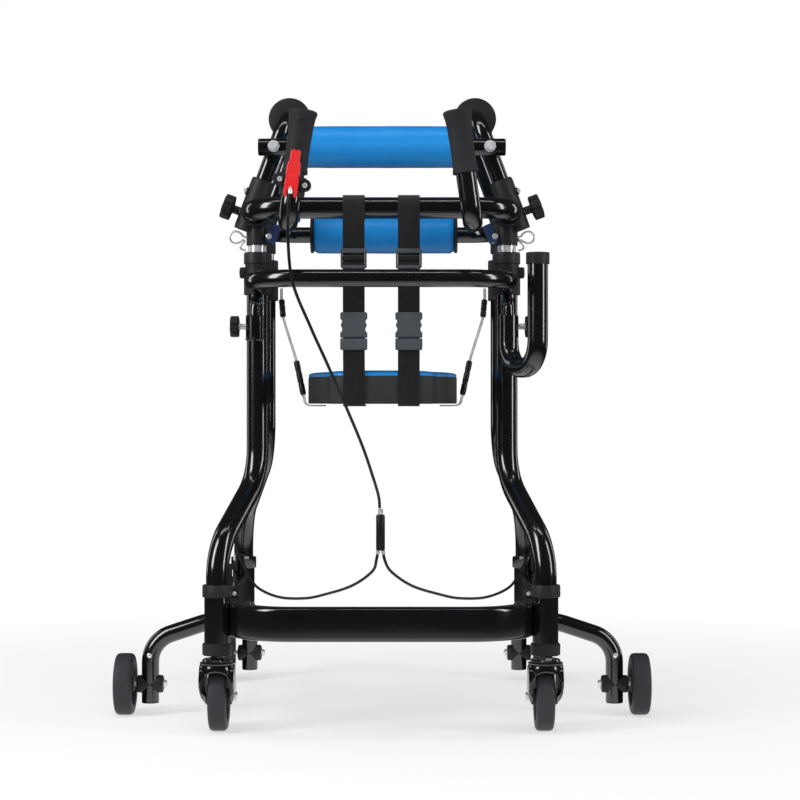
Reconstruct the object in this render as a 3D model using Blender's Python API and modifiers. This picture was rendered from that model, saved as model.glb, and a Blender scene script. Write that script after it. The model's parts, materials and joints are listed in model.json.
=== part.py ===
"""Rehabilitation walker with swivel casters, outriggers, underarm hoops and a hanging seat.

Metres, +Z up. The user faces -Y. Depth is counted from the plane of the front posts and
shifted so that the origin is the centre of the footprint on the floor.
"""
import math

import bmesh
import bpy
from mathutils import Matrix, Vector

CLEARANCE = 0.0003

# Base
POST_X = 0.240
POST_OUTER_R = 0.0190
SLEEVE_BOTTOM_Z = 0.115
SLEEVE_TOP_Z = 0.213
COLLAR_R = 0.0219
COLLAR_H = 0.0175
COLLAR_EAR = Vector((0.022, 0.012, 0.014))
REAR_COLLAR_RISE = 0.0020
REAR_SLEEVE_DROP = 0.006
BAR_BOTTOM_Z = 0.142
BAR_TOP_Z = 0.191
BAR_WALL = 0.028
BAR_EDGE = 0.005
SIDE_BAR_START = 0.010
FOOT_Z = 0.172
CROSSBAR_Y = -0.060
CROSSBAR_HALF = 0.214
CROSSBAR_BEND = 0.088
REAR_Y = 0.560
REAR_X = 0.2453
STUB_R = 0.0135
REAR_STUB_X = 0.2345
REAR_STUB_HIGH_Z = 0.150
REAR_STUB_LOW_Z = 0.115
REAR_STUB_BEND = 0.040
STUB_BOTTOM_Z = 0.020
OUTRIGGER_Y = 0.178
OUTRIGGER_X = 0.360
OUTRIGGER_LINE = [(0.244, 0.1470), (0.276, 0.1425), (OUTRIGGER_X, 0.1149), (OUTRIGGER_X, STUB_BOTTOM_Z)]
OUTRIGGER_BENDS = [0.080, 0.046]

# Legs
LEG_R = 0.0166
FRONT_UPRIGHT_Y = 0.125
REAR_UPRIGHT_Y = 0.300
UPRIGHT_X = 0.190
LEG_TOP_Z = 0.700
UPRIGHT_LOW_Z = 0.372
FRONT_KNEE_Z = 0.270
REAR_KNEE_Z = 0.285
REAR_LOW_Z = 0.400
KNEE_BEND = 0.085
PEG_BEND = 0.020
TELESCOPE_R = 0.0140
LIFT = 0.200
TELESCOPE_DEPTH = LIFT + 0.040

# Casters and wheels
CASTER_R = 0.050
CASTER_W = 0.027
CASTER_TRAIL = 0.028
FORK_W = 0.053
FORK_TOP_Z = 0.102
RACE_H = 0.0075
STEM_R = 0.0080
STEM_TOP_Z = 0.160
FORK_SIDE = 0.0030
WHEEL_WELL_HALF = 0.0165
CHEEK_HIGH_R = 0.0235
CHEEK_LOW_R = 0.0115
RACE_LOW_R = 0.0255
RACE_HIGH_R = 0.0200
STEM_NUT_R = 0.0105
AXLE_NUT_R = 0.0075
SADDLE_R = 0.0136
SADDLE_HALF = 0.0205
HUB_R = 0.0115
WHEEL_R = 0.0475
WHEEL_W = 0.028
OUTRIGGER_WHEEL_X = 0.399
REAR_WHEEL_X = 0.276
AXLE_R = 0.0040

# Lower ring
RING_LOW_Z = 0.661
RING_LOW_R = 0.0127
RING_LOW_Y = -0.085
RING_LOW_X = 0.1865
RING_LOW_BEND = 0.070
HEAD_R = 0.0208
HEAD_BOTTOM_Z = 0.648
HEAD_TOP_Z = 0.713
HEAD_EAR = Vector((0.018, 0.014, 0.016))
HEAD_EAR_Z = 0.6815

# Side frames and upper ring
RING_Z = 0.769
RING_R = 0.0158
RING_Y = 0.000
RING_BEND = 0.045
SOCKET_R = 0.0198
SOCKET_FRONT_Y = 0.070
SOCKET_DEPTH = 0.030
BARREL_R = 0.0165
BARREL_BOTTOM_Z = 0.7235
BARREL_TOP_Z = 0.792
RAIL_END_Y = 0.430
RAIL_R = 0.0168
CLIP_WIRE_R = 0.0016
CLIP_Z = 0.7365
CLIP_SPACING = 0.006

# Hoops, pads and bars
HOOP_LEAN = 0.370
HOOP_R = 0.0127
HOOP_FOOT_X = 0.20058
HOOP_TOP_Z = 0.923
HOOP_RISE = HOOP_TOP_Z - RING_Z
HOOP_REAR_Y = 0.390
HOOP_BEND = HOOP_RISE * 0.2727
HOOP_FRONT_FOOT_Z = 0.757
HOOP_REAR_FOOT_Z = 0.7855
HOOP_SLEEVE_R = 0.0180
HOOP_SLEEVE_LOW_Z = 0.746
HOOP_SLEEVE_TOP_Z = RING_Z + HOOP_RISE * 0.3506
PAD_R = 0.0312
PAD_END = 0.007
CHEST_Z = RING_Z + HOOP_RISE * 0.6591
CHEST_BAR_R = 0.0130
CHEST_HALF = 0.199
CHEST_PAD_HALF = 0.125
HIP_R = 0.0134
HIP_Y = 0.480
HIP_PAD_HALF = 0.125
HIP_BEND = 0.045
HIP_TRAVEL = 0.060
HIP_INSERT = HIP_TRAVEL + 0.040
KNOB_R = 0.0190
KNOB_H = 0.0150
KNOB_REACH = 0.0296
KNOB_SCREW_R = 0.0035
KNOB_LOBES = 7
KNOB_DIP = 0.0026
KNOB_STEM_R = 0.0065
KNOB_SCREW = 0.0044
PEG_KNOB_R = 0.0160
PEG_KNOB_H = 0.0130
PEG_KNOB_STEM_R = 0.0045
PEG_KNOB_REACH = 0.0100
CHEST_BOLT_R = 0.0090

# Handles and brake
HANDLE_X = 0.128
HANDLE_TOP_X = 0.106
HANDLE_FLARE = 0.003
HANDLE_Y = -0.172
HANDLE_R = 0.0140
HANDLE_LOW_Z = 0.729
HANDLE_TOP_Z = 0.886
HANDLE_BEND = 0.028
GRIP_R = 0.0175
GRIP_LOW_Z = 0.800
GRIP_TOP_Z = 0.890
LEVER_HINGE_Z = 0.796
LEVER_T = 0.0060
LEVER_GAP = 0.0085
LEVER_PIN_R = 0.0020
BRACKET_LOW_Z = 0.768
BRAKE_PIVOT_Z = 0.215
BRAKE_Y = 0.528
BRAKE_X = 0.2538
BRAKE_CHEEK = Vector((0.0060, 0.016, 0.034))
BRAKE_LUG = Vector((0.008, 0.018, 0.042))
SHOE_W = 0.022
SHOE_DEPTH = 0.0155
BRIDGE_DEPTH = 0.014
BRIDGE_H = 0.010
EAR_R = 0.0098
EAR_X = 0.0175
CABLE_R = 0.0022
CABLE_SPACING = 0.0135

# Accessory pegs
PEG_Y = 0.073
PEG_R = 0.0085
PEG_HIGH_Z = 0.638
PEG_LOW_Z = 0.580
HOLDER_R = 0.0150
HOLDER_TOP_Z = 0.615
HOLDER_LOW_Z = 0.536
HOLDER_DX = 0.038
HOLDER_DY = -0.085
HOLDER_BEND = 0.040
CAP_R = 0.0172
CAP_LOW_Z = 0.686
CAP_TOP_Z = 0.703
STUB_SLEEVE_R = 0.0140
STUB_SLEEVE_LOW_Z = 0.577

# Seat and straps
SEAT_TOP_Z = 0.530
SEAT_BOTTOM_Z = 0.482
SEAT_COVER = 0.006
SEAT_NOSE_Y = 0.010
SEAT_SHOULDER_Y = 0.150
SEAT_BACK_Y = 0.330
SEAT_NOSE_HALF = 0.078
SEAT_HALF = 0.121
SEAT_CORNER = 0.028
STRAP_W = 0.032
STRAP_T = 0.0025
STRAP_GAP = 0.0008
STRAP_X = 0.0402
BUCKLE_TOP_Z = 0.616
BUCKLE_LOW_Z = 0.561
BUCKLE_W = 0.0395
BUCKLE_T = 0.013
SLIDER = Vector((0.038, 0.009, 0.029))
SLIDER_Z = 0.694
ROPE_R = 0.0011
ROPE_SLEEVE_R = 0.0048
ROPE_SPACING = 0.040

# Footprint centre
LEVER_REACH = 0.024
FRONT_REACH = HANDLE_Y - GRIP_R - LEVER_REACH
REAR_REACH = REAR_Y + WHEEL_R
ORIGIN_Y = (FRONT_REACH + REAR_REACH) / 2

TUBE_DETAIL = 4
FINE_DETAIL = 3
WIRE_DETAIL = 2
TURN_STEPS = 20
SMALL_STEPS = 12
CUT_STEPS = 16
HOLE_STEPS = 11


def at(x, y, z):
    """A place counted from the front post plane, moved to the part's own origin."""
    return Vector((x, y - ORIGIN_Y, z))


def start_collection(name):
    collection = bpy.data.collections.new(name)
    bpy.context.scene.collection.children.link(collection)
    return collection


for old in list(bpy.data.objects):
    bpy.data.objects.remove(old, do_unlink=True)

PARTS = start_collection("rehabilitation_walker")
CUTTERS = start_collection("cutters")


def finish(name, colour, roughness, metallic=0.0):
    """A plain Principled finish for a group of pieces."""
    made = bpy.data.materials.new(name)
    made.use_nodes = True
    shader = made.node_tree.nodes["Principled BSDF"]
    shader.inputs["Base Color"].default_value = (*colour, 1.0)
    shader.inputs["Roughness"].default_value = roughness
    shader.inputs["Metallic"].default_value = metallic
    return made


BLACK_GLOSS = finish("gloss_black_paint", (0.012, 0.012, 0.013), 0.18)
BLACK_MATTE = finish("matte_black_plastic", (0.035, 0.036, 0.038), 0.55)
RUBBER = finish("grip_rubber", (0.022, 0.023, 0.024), 0.75)
WHEEL_RUBBER = finish("wheel_rubber", (0.028, 0.028, 0.029), 0.6)
BLUE = finish("blue_cover", (0.03, 0.22, 0.68), 0.45)
STEEL = finish("bright_steel", (0.75, 0.75, 0.76), 0.22, 1.0)
RED = finish("red_lever", (0.75, 0.008, 0.01), 0.35)
WEBBING = finish("black_webbing", (0.02, 0.021, 0.022), 0.85)
BUCKLE = finish("grey_buckle", (0.06, 0.065, 0.07), 0.5)
SEAT_BAND = finish("seat_side_band", (0.03, 0.032, 0.034), 0.6)


def keep(obj, name, material):
    """File an object as a sub-part."""
    obj.name = name
    obj.data.name = name
    obj.data.materials.clear()
    obj.data.materials.append(material)
    PARTS.objects.link(obj)
    return obj


def as_mesh(obj):
    """The evaluated object as a welded mesh object at the same place."""
    bpy.context.view_layer.update()
    if not obj.users_collection:
        CUTTERS.objects.link(obj)
        bpy.context.view_layer.update()
    graph = bpy.context.evaluated_depsgraph_get()
    mesh = bpy.data.meshes.new_from_object(obj.evaluated_get(graph))
    made = bpy.data.objects.new(obj.name, mesh)
    made.matrix_world = obj.matrix_world.copy()
    shell = bmesh.new()
    shell.from_mesh(mesh)
    bmesh.ops.remove_doubles(shell, verts=shell.verts, dist=0.00001)
    bmesh.ops.recalc_face_normals(shell, faces=shell.faces)
    shell.to_mesh(mesh)
    shell.free()
    bpy.data.objects.remove(obj, do_unlink=True)
    return made


def tool(obj):
    """Make an object a hidden Boolean operand."""
    if not obj.users_collection:
        CUTTERS.objects.link(obj)
    obj.hide_render = True
    obj.display_type = "WIRE"
    return obj


def boolean(target, operation, operands):
    """Join or cut a mesh object with each operand, in order."""
    for operand in operands:
        step = target.modifiers.new(operation.lower(), "BOOLEAN")
        step.operation = operation
        step.solver = "EXACT"
        step.object = tool(operand)
    return target


def fuse(target, operands):
    return boolean(target, "UNION", operands)


def cut(target, operands):
    return boolean(target, "DIFFERENCE", operands)


def bent_path(corners, bend, step=math.radians(22.5)):
    """Points of a line through corners, with an arc of one bend radius at each inner corner."""
    bends = bend if isinstance(bend, (list, tuple)) else [bend] * (len(corners) - 2)
    points = [corners[0].copy()]
    for index, radius in enumerate(bends, start=1):
        corner = corners[index]
        back = (corners[index - 1] - corner).normalized()
        ahead = (corners[index + 1] - corner).normalized()
        turn = math.pi - back.angle(ahead)
        if turn < math.radians(1.0):
            points.append(corner.copy())
            continue
        reach = radius * math.tan(turn / 2)
        middle = corner + (back + ahead).normalized() * (radius / math.cos(turn / 2))
        first = corner + back * reach - middle
        axis = back.cross(ahead).normalized()
        count = max(2, math.ceil(turn / step))
        for part in range(count + 1):
            spin = Matrix.Rotation(-turn * part / count, 3, axis)
            points.append(middle + spin @ first)
    points.append(corners[-1].copy())
    return points


def tube_object(points, radius, detail=TUBE_DETAIL, cyclic=False):
    """A round tube along points, as a bevelled POLY curve."""
    curve = bpy.data.curves.new("tube", "CURVE")
    curve.dimensions = "3D"
    curve.bevel_depth = radius
    curve.bevel_resolution = detail
    curve.use_fill_caps = not cyclic
    spline = curve.splines.new("POLY")
    spline.points.add(len(points) - 1)
    for point, place in zip(spline.points, points):
        point.co = (*place, 1.0)
    spline.use_cyclic_u = cyclic
    return bpy.data.objects.new("tube", curve)


def rod(start, end, radius, steps=SMALL_STEPS, end_radius=None):
    """A straight round bar or cone between two places."""
    line = end - start
    mesh = bpy.data.meshes.new("rod")
    shell = bmesh.new()
    bmesh.ops.create_cone(
        shell, cap_ends=True, segments=steps, radius1=radius,
        radius2=radius if end_radius is None else end_radius, depth=line.length,
    )
    shell.to_mesh(mesh)
    shell.free()
    made = bpy.data.objects.new("rod", mesh)
    turn = line.to_track_quat("Z", "Y").to_matrix().to_4x4()
    made.matrix_world = Matrix.Translation((start + end) / 2) @ turn
    return made


def box(centre, size, bevel=0.0):
    """A block of a size about its centre, with an optional edge bevel."""
    mesh = bpy.data.meshes.new("box")
    shell = bmesh.new()
    bmesh.ops.create_cube(shell, size=1.0)
    bmesh.ops.scale(shell, vec=size, verts=shell.verts)
    if bevel > 0.0:
        bmesh.ops.bevel(shell, geom=list(shell.edges), offset=bevel, segments=1, affect="EDGES")
    shell.to_mesh(mesh)
    shell.free()
    made = bpy.data.objects.new("box", mesh)
    made.location = centre
    return made


def turned(profile, centre, axis, steps=TURN_STEPS):
    """A turned piece: (radius, height) pairs from the top down, screwed round the axis."""
    mesh = bpy.data.meshes.new("turned")
    closed = min(radius for radius, _ in profile) > 0.0
    count = len(profile)
    edges = [(index, index + 1) for index in range(count - 1)]
    if closed:
        edges.append((count - 1, 0))
    mesh.from_pydata([(radius, 0.0, height) for radius, height in profile], edges, [])
    made = bpy.data.objects.new("turned", mesh)
    turn = made.modifiers.new("turn", "SCREW")
    turn.axis = "Z"
    turn.steps = steps
    turn.render_steps = steps
    turn.use_merge_vertices = True
    turn.merge_threshold = 0.00001
    turn.use_normal_calculate = True
    made.matrix_world = Matrix.Translation(centre) @ axis.to_track_quat("Z", "Y").to_matrix().to_4x4()
    return made


def slab(outline, thickness, matrix, bevel=0.0):
    """A flat plate: a filled 2D outline with half its thickness as extrude."""
    curve = bpy.data.curves.new("slab", "CURVE")
    curve.dimensions = "2D"
    curve.fill_mode = "BOTH"
    curve.extrude = thickness / 2 - bevel
    curve.bevel_depth = bevel
    curve.bevel_resolution = 0
    curve.offset = -bevel
    spline = curve.splines.new("POLY")
    spline.points.add(len(outline) - 1)
    for point, (x, y) in zip(spline.points, outline):
        point.co = (x, y, 0.0, 1.0)
    spline.use_cyclic_u = True
    made = bpy.data.objects.new("slab", curve)
    made.matrix_world = matrix
    return made


def bore_radius(radius, steps):
    """The radius of a faceted hole that clears a round piece."""
    return radius / math.cos(math.pi / steps) + CLEARANCE


def arc(centre, radius, first, last, count):
    """Points of an arc in a plane, angles in degrees."""
    places = []
    for index in range(count + 1):
        angle = math.radians(first + (last - first) * index / count)
        places.append((centre[0] + radius * math.cos(angle), centre[1] + radius * math.sin(angle)))
    return places


X_AXIS = Vector((1.0, 0.0, 0.0))
Y_AXIS = Vector((0.0, 1.0, 0.0))
Z_AXIS = Vector((0.0, 0.0, 1.0))
SIDES = (("left", -1.0), ("right", 1.0))


def crossbar():
    """The front bar in plan: straight in front, with ends that bend back beside the posts."""
    half = BAR_WALL / 2
    end_y = CROSSBAR_Y + CROSSBAR_BEND
    centre = CROSSBAR_HALF - CROSSBAR_BEND
    outline = arc((-centre, end_y), CROSSBAR_BEND + half, 180.0, 270.0, 6)
    outline += arc((centre, end_y), CROSSBAR_BEND + half, 270.0, 360.0, 6)
    outline += arc((centre, end_y), CROSSBAR_BEND - half, 360.0, 270.0, 5)
    outline += arc((-centre, end_y), CROSSBAR_BEND - half, 270.0, 180.0, 5)
    middle = Matrix.Translation(at(0.0, 0.0, (BAR_BOTTOM_Z + BAR_TOP_Z) / 2))
    return as_mesh(slab(outline, BAR_TOP_Z - BAR_BOTTOM_Z, middle, BAR_EDGE))


def leg_bore(x, y, low, high, radius):
    return rod(at(x, y, low), at(x, y, high), bore_radius(radius, CUT_STEPS), CUT_STEPS)


def base_frame():
    """One weldment: cross bar, side bars, post sleeves, rear lower tubes and outriggers."""
    frame = crossbar()
    joined = []
    bored = []
    for _, side in SIDES:
        x = side * POST_X
        joined.append(rod(at(x, 0.0, SLEEVE_BOTTOM_Z), at(x, 0.0, SLEEVE_BOTTOM_Z + COLLAR_H), COLLAR_R,
                          TURN_STEPS))
        joined.append(rod(at(x, 0.0, SLEEVE_BOTTOM_Z + COLLAR_H / 2), at(x, 0.0, SLEEVE_TOP_Z), POST_OUTER_R,
                          TURN_STEPS))
        bar = box(at(side * (POST_X + REAR_X) / 2, (REAR_Y + SIDE_BAR_START) / 2,
                     (BAR_BOTTOM_Z + BAR_TOP_Z) / 2),
                  Vector((BAR_WALL, REAR_Y - SIDE_BAR_START, BAR_TOP_Z - BAR_BOTTOM_Z)), BAR_EDGE)
        bar.rotation_euler.z = -side * math.atan((REAR_X - POST_X) / REAR_Y)
        joined.append(bar)
        rear = [at(side * REAR_X, REAR_Y, FOOT_Z - 0.005), at(side * REAR_X, REAR_Y, REAR_STUB_HIGH_Z),
                at(side * REAR_STUB_X, REAR_Y, REAR_STUB_LOW_Z), at(side * REAR_STUB_X, REAR_Y, STUB_BOTTOM_Z)]
        joined.append(as_mesh(tube_object(bent_path(rear, REAR_STUB_BEND), STUB_R)))
        joined.append(rod(at(side * REAR_X, REAR_Y, SLEEVE_TOP_Z - COLLAR_H),
                          at(side * REAR_X, REAR_Y, SLEEVE_TOP_Z + REAR_COLLAR_RISE), COLLAR_R, TURN_STEPS))
        joined.append(rod(at(side * REAR_X, REAR_Y, BAR_BOTTOM_Z - REAR_SLEEVE_DROP),
                          at(side * REAR_X, REAR_Y, SLEEVE_TOP_Z - COLLAR_H / 2), POST_OUTER_R, TURN_STEPS))
        out = [at(side * place_x, OUTRIGGER_Y, place_z) for place_x, place_z in OUTRIGGER_LINE]
        joined.append(as_mesh(tube_object(bent_path(out, OUTRIGGER_BENDS), STUB_R)))
        bored.append(leg_bore(x, 0.0, FOOT_Z, SLEEVE_TOP_Z + 0.010, LEG_R))
        bored.append(leg_bore(side * REAR_X, REAR_Y, FOOT_Z, SLEEVE_TOP_Z + 0.010, LEG_R))
        bored.append(leg_bore(x, 0.0, SLEEVE_BOTTOM_Z - 0.010, STEM_TOP_Z + 0.002, STEM_R))
        lug = box(at(side * (REAR_X - 0.001), BRAKE_Y - 0.004, BRAKE_PIVOT_Z - 0.014),
                  BRAKE_LUG)
        joined.append(lug)
        bored.append(rod(at(side * (REAR_X + 0.020), BRAKE_Y, BRAKE_PIVOT_Z),
                         at(side * (REAR_X - 0.020), BRAKE_Y, BRAKE_PIVOT_Z),
                         bore_radius(LEVER_PIN_R + 0.0005, SMALL_STEPS), SMALL_STEPS))
        for post_x, post_y in ((OUTRIGGER_X, OUTRIGGER_Y), (REAR_STUB_X, REAR_Y)):
            hole = bore_radius(AXLE_R, HOLE_STEPS)
            bored.append(rod(at(side * (post_x - 0.020), post_y, WHEEL_R),
                             at(side * (post_x + 0.020), post_y, WHEEL_R), hole, HOLE_STEPS))
    fuse(frame, joined)
    cut(frame, bored)
    keep(frame, "base_frame", BLACK_GLOSS)


def leg(name, side, upright_y, foot_x, foot_y, knee_z, low_z, peg=False):
    """A leg tube: vertical foot in its sleeve, a double bend, and a bored vertical top."""
    foot_z = FOOT_Z + CLEARANCE
    corners = [at(side * foot_x, foot_y, foot_z), at(side * foot_x, foot_y, knee_z),
               at(side * UPRIGHT_X, upright_y, low_z), at(side * UPRIGHT_X, upright_y, LEG_TOP_Z)]
    tube = as_mesh(tube_object(bent_path(corners, KNEE_BEND), LEG_R, TUBE_DETAIL))
    if peg:
        route = [at(side * UPRIGHT_X, upright_y - 0.008, PEG_HIGH_Z), at(side * UPRIGHT_X, PEG_Y, PEG_HIGH_Z),
                 at(side * UPRIGHT_X, PEG_Y, PEG_LOW_Z)]
        fuse(tube, [as_mesh(tube_object(bent_path(route, PEG_BEND), PEG_R, FINE_DETAIL))])
    bore = leg_bore(side * UPRIGHT_X, upright_y, LEG_TOP_Z - TELESCOPE_DEPTH, LEG_TOP_Z + 0.010,
                    TELESCOPE_R)
    cut(tube, [bore])
    return keep(tube, name, BLACK_GLOSS)


def post_collar(name, side, x, y):
    """The plastic collar on a post sleeve's top, with its clamp ear."""
    bottom = SLEEVE_TOP_Z + CLEARANCE - COLLAR_H
    body = rod(at(x, y, bottom), at(x, y, SLEEVE_TOP_Z + 0.005), COLLAR_R, TURN_STEPS)
    ear = box(at(x - side * 0.021, y + 0.010, bottom + COLLAR_H / 2), COLLAR_EAR)
    fuse(body, [ear])
    inner = bore_radius(LEG_R, CUT_STEPS)
    outer = bore_radius(POST_OUTER_R, CUT_STEPS)
    bores = [rod(at(x, y, bottom - 0.010), at(x, y, SLEEVE_TOP_Z + 0.020), inner, CUT_STEPS),
             rod(at(x, y, bottom - 0.010), at(x, y, SLEEVE_TOP_Z + CLEARANCE), outer, CUT_STEPS)]
    cut(body, bores)
    keep(body, name, BLACK_MATTE)


def caster(name, side):
    """A swivel caster: hooded fork with race, nut, stem and axle bolt, and its wheel."""
    x = side * POST_X
    sideways = Matrix(((0, 0, 1, 0), (1, 0, 0, 0), (0, 1, 0, 0), (0, 0, 0, 1)))
    hood = rod(at(x, 0.0, CASTER_R + 0.012), at(x, 0.0, FORK_TOP_Z), FORK_W / 2, TURN_STEPS)
    cheek = arc((0.0, CASTER_R + 0.028), CHEEK_HIGH_R, 20.0, 200.0, 8)
    cheek += arc((CASTER_TRAIL, CASTER_R), CHEEK_LOW_R, 225.0, 385.0, 8)
    place = Matrix.Translation(at(x, 0.0, 0.0)) @ sideways
    plates = as_mesh(slab(cheek, FORK_W - 0.002, place))
    arch_r = FORK_W / 2 - FORK_SIDE
    arch_z = FORK_TOP_Z - 0.0095 - arch_r
    tunnel = rod(at(x, -0.060, arch_z), at(x, 0.110, arch_z), arch_r, CUT_STEPS)
    below = box(at(x, 0.020, arch_z - 0.040), Vector((2 * arch_r - 0.0002, 0.160, 0.080)))
    well = rod(at(x - WHEEL_WELL_HALF, CASTER_TRAIL, CASTER_R), at(x + WHEEL_WELL_HALF, CASTER_TRAIL, CASTER_R),
               CASTER_R + 0.0018, 32)
    fuse(hood, [plates])
    cut(hood, [tunnel, below, well])
    race = rod(at(x, 0.0, FORK_TOP_Z - 0.001), at(x, 0.0, FORK_TOP_Z + RACE_H), RACE_LOW_R,
               TURN_STEPS, RACE_HIGH_R)
    nut = rod(at(x, 0.0, FORK_TOP_Z + RACE_H - 0.001), at(x, 0.0, SLEEVE_BOTTOM_Z - CLEARANCE), STEM_NUT_R,
              6)
    stem = rod(at(x, 0.0, FORK_TOP_Z), at(x, 0.0, STEM_TOP_Z), STEM_R)
    reach = FORK_W / 2
    axle = rod(at(x - reach - 0.001, CASTER_TRAIL, CASTER_R),
               at(x + reach + 0.001, CASTER_TRAIL, CASTER_R), AXLE_R)
    bolt_nut = rod(at(x - side * (reach - 0.001), CASTER_TRAIL, CASTER_R),
                   at(x - side * (reach + 0.005), CASTER_TRAIL, CASTER_R), AXLE_NUT_R, 6)
    fuse(hood, [race, nut, stem, axle, bolt_nut])
    keep(hood, f"caster_fork_{name}", BLACK_GLOSS)
    hub = 2 * arch_r - 0.0012
    wheel(f"caster_wheel_{name}", at(x, CASTER_TRAIL, CASTER_R), CASTER_R, CASTER_W, hub)


def wheel(name, centre, radius, width, hub_width):
    """A wheel: tyre, dished web and hub, turned round X, with a bore for its axle."""
    half = width / 2
    hub = hub_width / 2
    bore = bore_radius(AXLE_R, TURN_STEPS)
    profile = [
        (radius - 0.0045, half), (radius, half - 0.0055), (radius, -half + 0.0055), (radius - 0.0045, -half),
        (radius * 0.68, -half), (radius * 0.62, -half + 0.0060), (HUB_R, -hub), (bore, -hub), (bore, hub),
        (HUB_R, hub), (radius * 0.62, half - 0.0060), (radius * 0.68, half),
    ]
    keep(turned(profile, centre, X_AXIS), name, WHEEL_RUBBER)


def wheel_axle(name, side, post_x, post_y, wheel_x):
    """Saddles on a lower tube, and the bolt through them that carries the wheel."""
    def place(x):
        return at(side * x, post_y, WHEEL_R)
    saddle = rod(place(post_x - SADDLE_HALF), place(post_x + SADDLE_HALF + 0.0005), SADDLE_R, TURN_STEPS)
    tube = rod(at(side * post_x, post_y, 0.0), at(side * post_x, post_y, 0.100),
               bore_radius(STUB_R, CUT_STEPS), CUT_STEPS)
    cut(saddle, [tube])
    outer = wheel_x + WHEEL_W / 2
    bolt = rod(place(post_x - 0.0260), place(outer + 0.001), AXLE_R)
    nut = rod(place(post_x - 0.0270), place(post_x - 0.0200), 0.0066, 6)
    head = rod(place(outer + CLEARANCE), place(outer + 0.0047), 0.0070, 6)
    fuse(saddle, [bolt, nut, head])
    keep(saddle, name, BLACK_MATTE)


def ring_path(front_y, x, z, bend, end_y):
    """A U in plan, open to the rear."""
    return bent_path([at(-x, end_y, z), at(-x, front_y, z), at(x, front_y, z), at(x, end_y, z)], bend)


def lower_ring():
    """The lower ring: front bar, side rails and four clamp heads on the legs, as one weldment."""
    ring = as_mesh(tube_object(ring_path(RING_LOW_Y, RING_LOW_X, RING_LOW_Z, RING_LOW_BEND,
                                         FRONT_UPRIGHT_Y - 0.012), RING_LOW_R, FINE_DETAIL))
    joined = []
    bored = []
    for _, side in SIDES:
        x = side * UPRIGHT_X
        joined.append(rod(at(x, FRONT_UPRIGHT_Y + 0.012, RING_LOW_Z), at(x, REAR_UPRIGHT_Y - 0.012, RING_LOW_Z),
                          RING_LOW_R, SMALL_STEPS))
        for y in (FRONT_UPRIGHT_Y, REAR_UPRIGHT_Y):
            joined.append(rod(at(x, y, HEAD_BOTTOM_Z), at(x, y, HEAD_TOP_Z), HEAD_R, TURN_STEPS))
            joined.append(box(at(x + side * 0.022, y - 0.006, HEAD_EAR_Z), HEAD_EAR, 0.002))
            bored.append(leg_bore(x, y, HEAD_BOTTOM_Z - 0.010, LEG_TOP_Z + CLEARANCE, LEG_R))
            bored.append(leg_bore(x, y, LEG_TOP_Z - 0.010, HEAD_TOP_Z + 0.010, TELESCOPE_R))
    fuse(ring, joined)
    cut(ring, bored)
    keep(ring, "lower_ring", BLACK_GLOSS)


def hoop_x(z):
    """Where a hoop leg's axis stands sideways at a height."""
    return HOOP_FOOT_X - (z - RING_Z) * HOOP_LEAN


def on_hoop(side, y, z):
    return at(side * hoop_x(z), y, z)


def knob_axis(side):
    """The star knob's direction, out of the leaning sleeve and square to it."""
    return Vector((side, 0.0, HOOP_LEAN)).normalized()


def side_frame(name, side):
    """Left or right upper frame: telescoping tubes, barrels, rail, sockets and hoop sleeves."""
    x = side * UPRIGHT_X
    rail = rod(at(x, FRONT_UPRIGHT_Y - 0.013, RING_Z), at(x, RAIL_END_Y, RING_Z), RAIL_R, TURN_STEPS)
    joined = [rod(at(x, SOCKET_FRONT_Y, RING_Z), at(x, FRONT_UPRIGHT_Y + 0.004, RING_Z), SOCKET_R, TURN_STEPS)]
    low = LEG_TOP_Z - TELESCOPE_DEPTH + CLEARANCE
    for y in (FRONT_UPRIGHT_Y, REAR_UPRIGHT_Y):
        joined.append(rod(at(x, y, low), at(x, y, BARREL_BOTTOM_Z + 0.004), TELESCOPE_R, SMALL_STEPS))
        joined.append(rod(at(x, y, BARREL_BOTTOM_Z), at(x, y, BARREL_TOP_Z), BARREL_R, TURN_STEPS))
    for y in (FRONT_UPRIGHT_Y, HOOP_REAR_Y):
        joined.append(rod(on_hoop(side, y, HOOP_SLEEVE_LOW_Z), on_hoop(side, y, HOOP_SLEEVE_TOP_Z),
                          HOOP_SLEEVE_R, TURN_STEPS))
    bored = [rod(at(x, SOCKET_FRONT_Y - 0.010, RING_Z), at(x, SOCKET_FRONT_Y + SOCKET_DEPTH, RING_Z),
                 bore_radius(RING_R, CUT_STEPS), CUT_STEPS),
             rod(at(x, RAIL_END_Y - HIP_INSERT - CLEARANCE, RING_Z), at(x, RAIL_END_Y + 0.010, RING_Z),
                 bore_radius(HIP_R, CUT_STEPS), CUT_STEPS)]
    for y, foot in ((FRONT_UPRIGHT_Y, HOOP_FRONT_FOOT_Z), (HOOP_REAR_Y, HOOP_REAR_FOOT_Z)):
        bored.append(rod(on_hoop(side, y, foot - CLEARANCE), on_hoop(side, y, HOOP_SLEEVE_TOP_Z + 0.010),
                         bore_radius(HOOP_R, CUT_STEPS), CUT_STEPS))
    bored.append(rod(at(x + side * 0.030, FRONT_UPRIGHT_Y, CLIP_Z),
                     at(x - side * 0.008, FRONT_UPRIGHT_Y, CLIP_Z), bore_radius(CLIP_WIRE_R, 8), 8))
    centre = on_hoop(side, FRONT_UPRIGHT_Y, RING_Z + 0.0005)
    bored.append(rod(centre - knob_axis(side) * 0.003, centre + knob_axis(side) * 0.030,
                     bore_radius(KNOB_SCREW_R, HOLE_STEPS), HOLE_STEPS))
    fuse(rail, joined)
    cut(rail, bored)
    keep(rail, f"side_frame_{name}", BLACK_MATTE)


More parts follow.
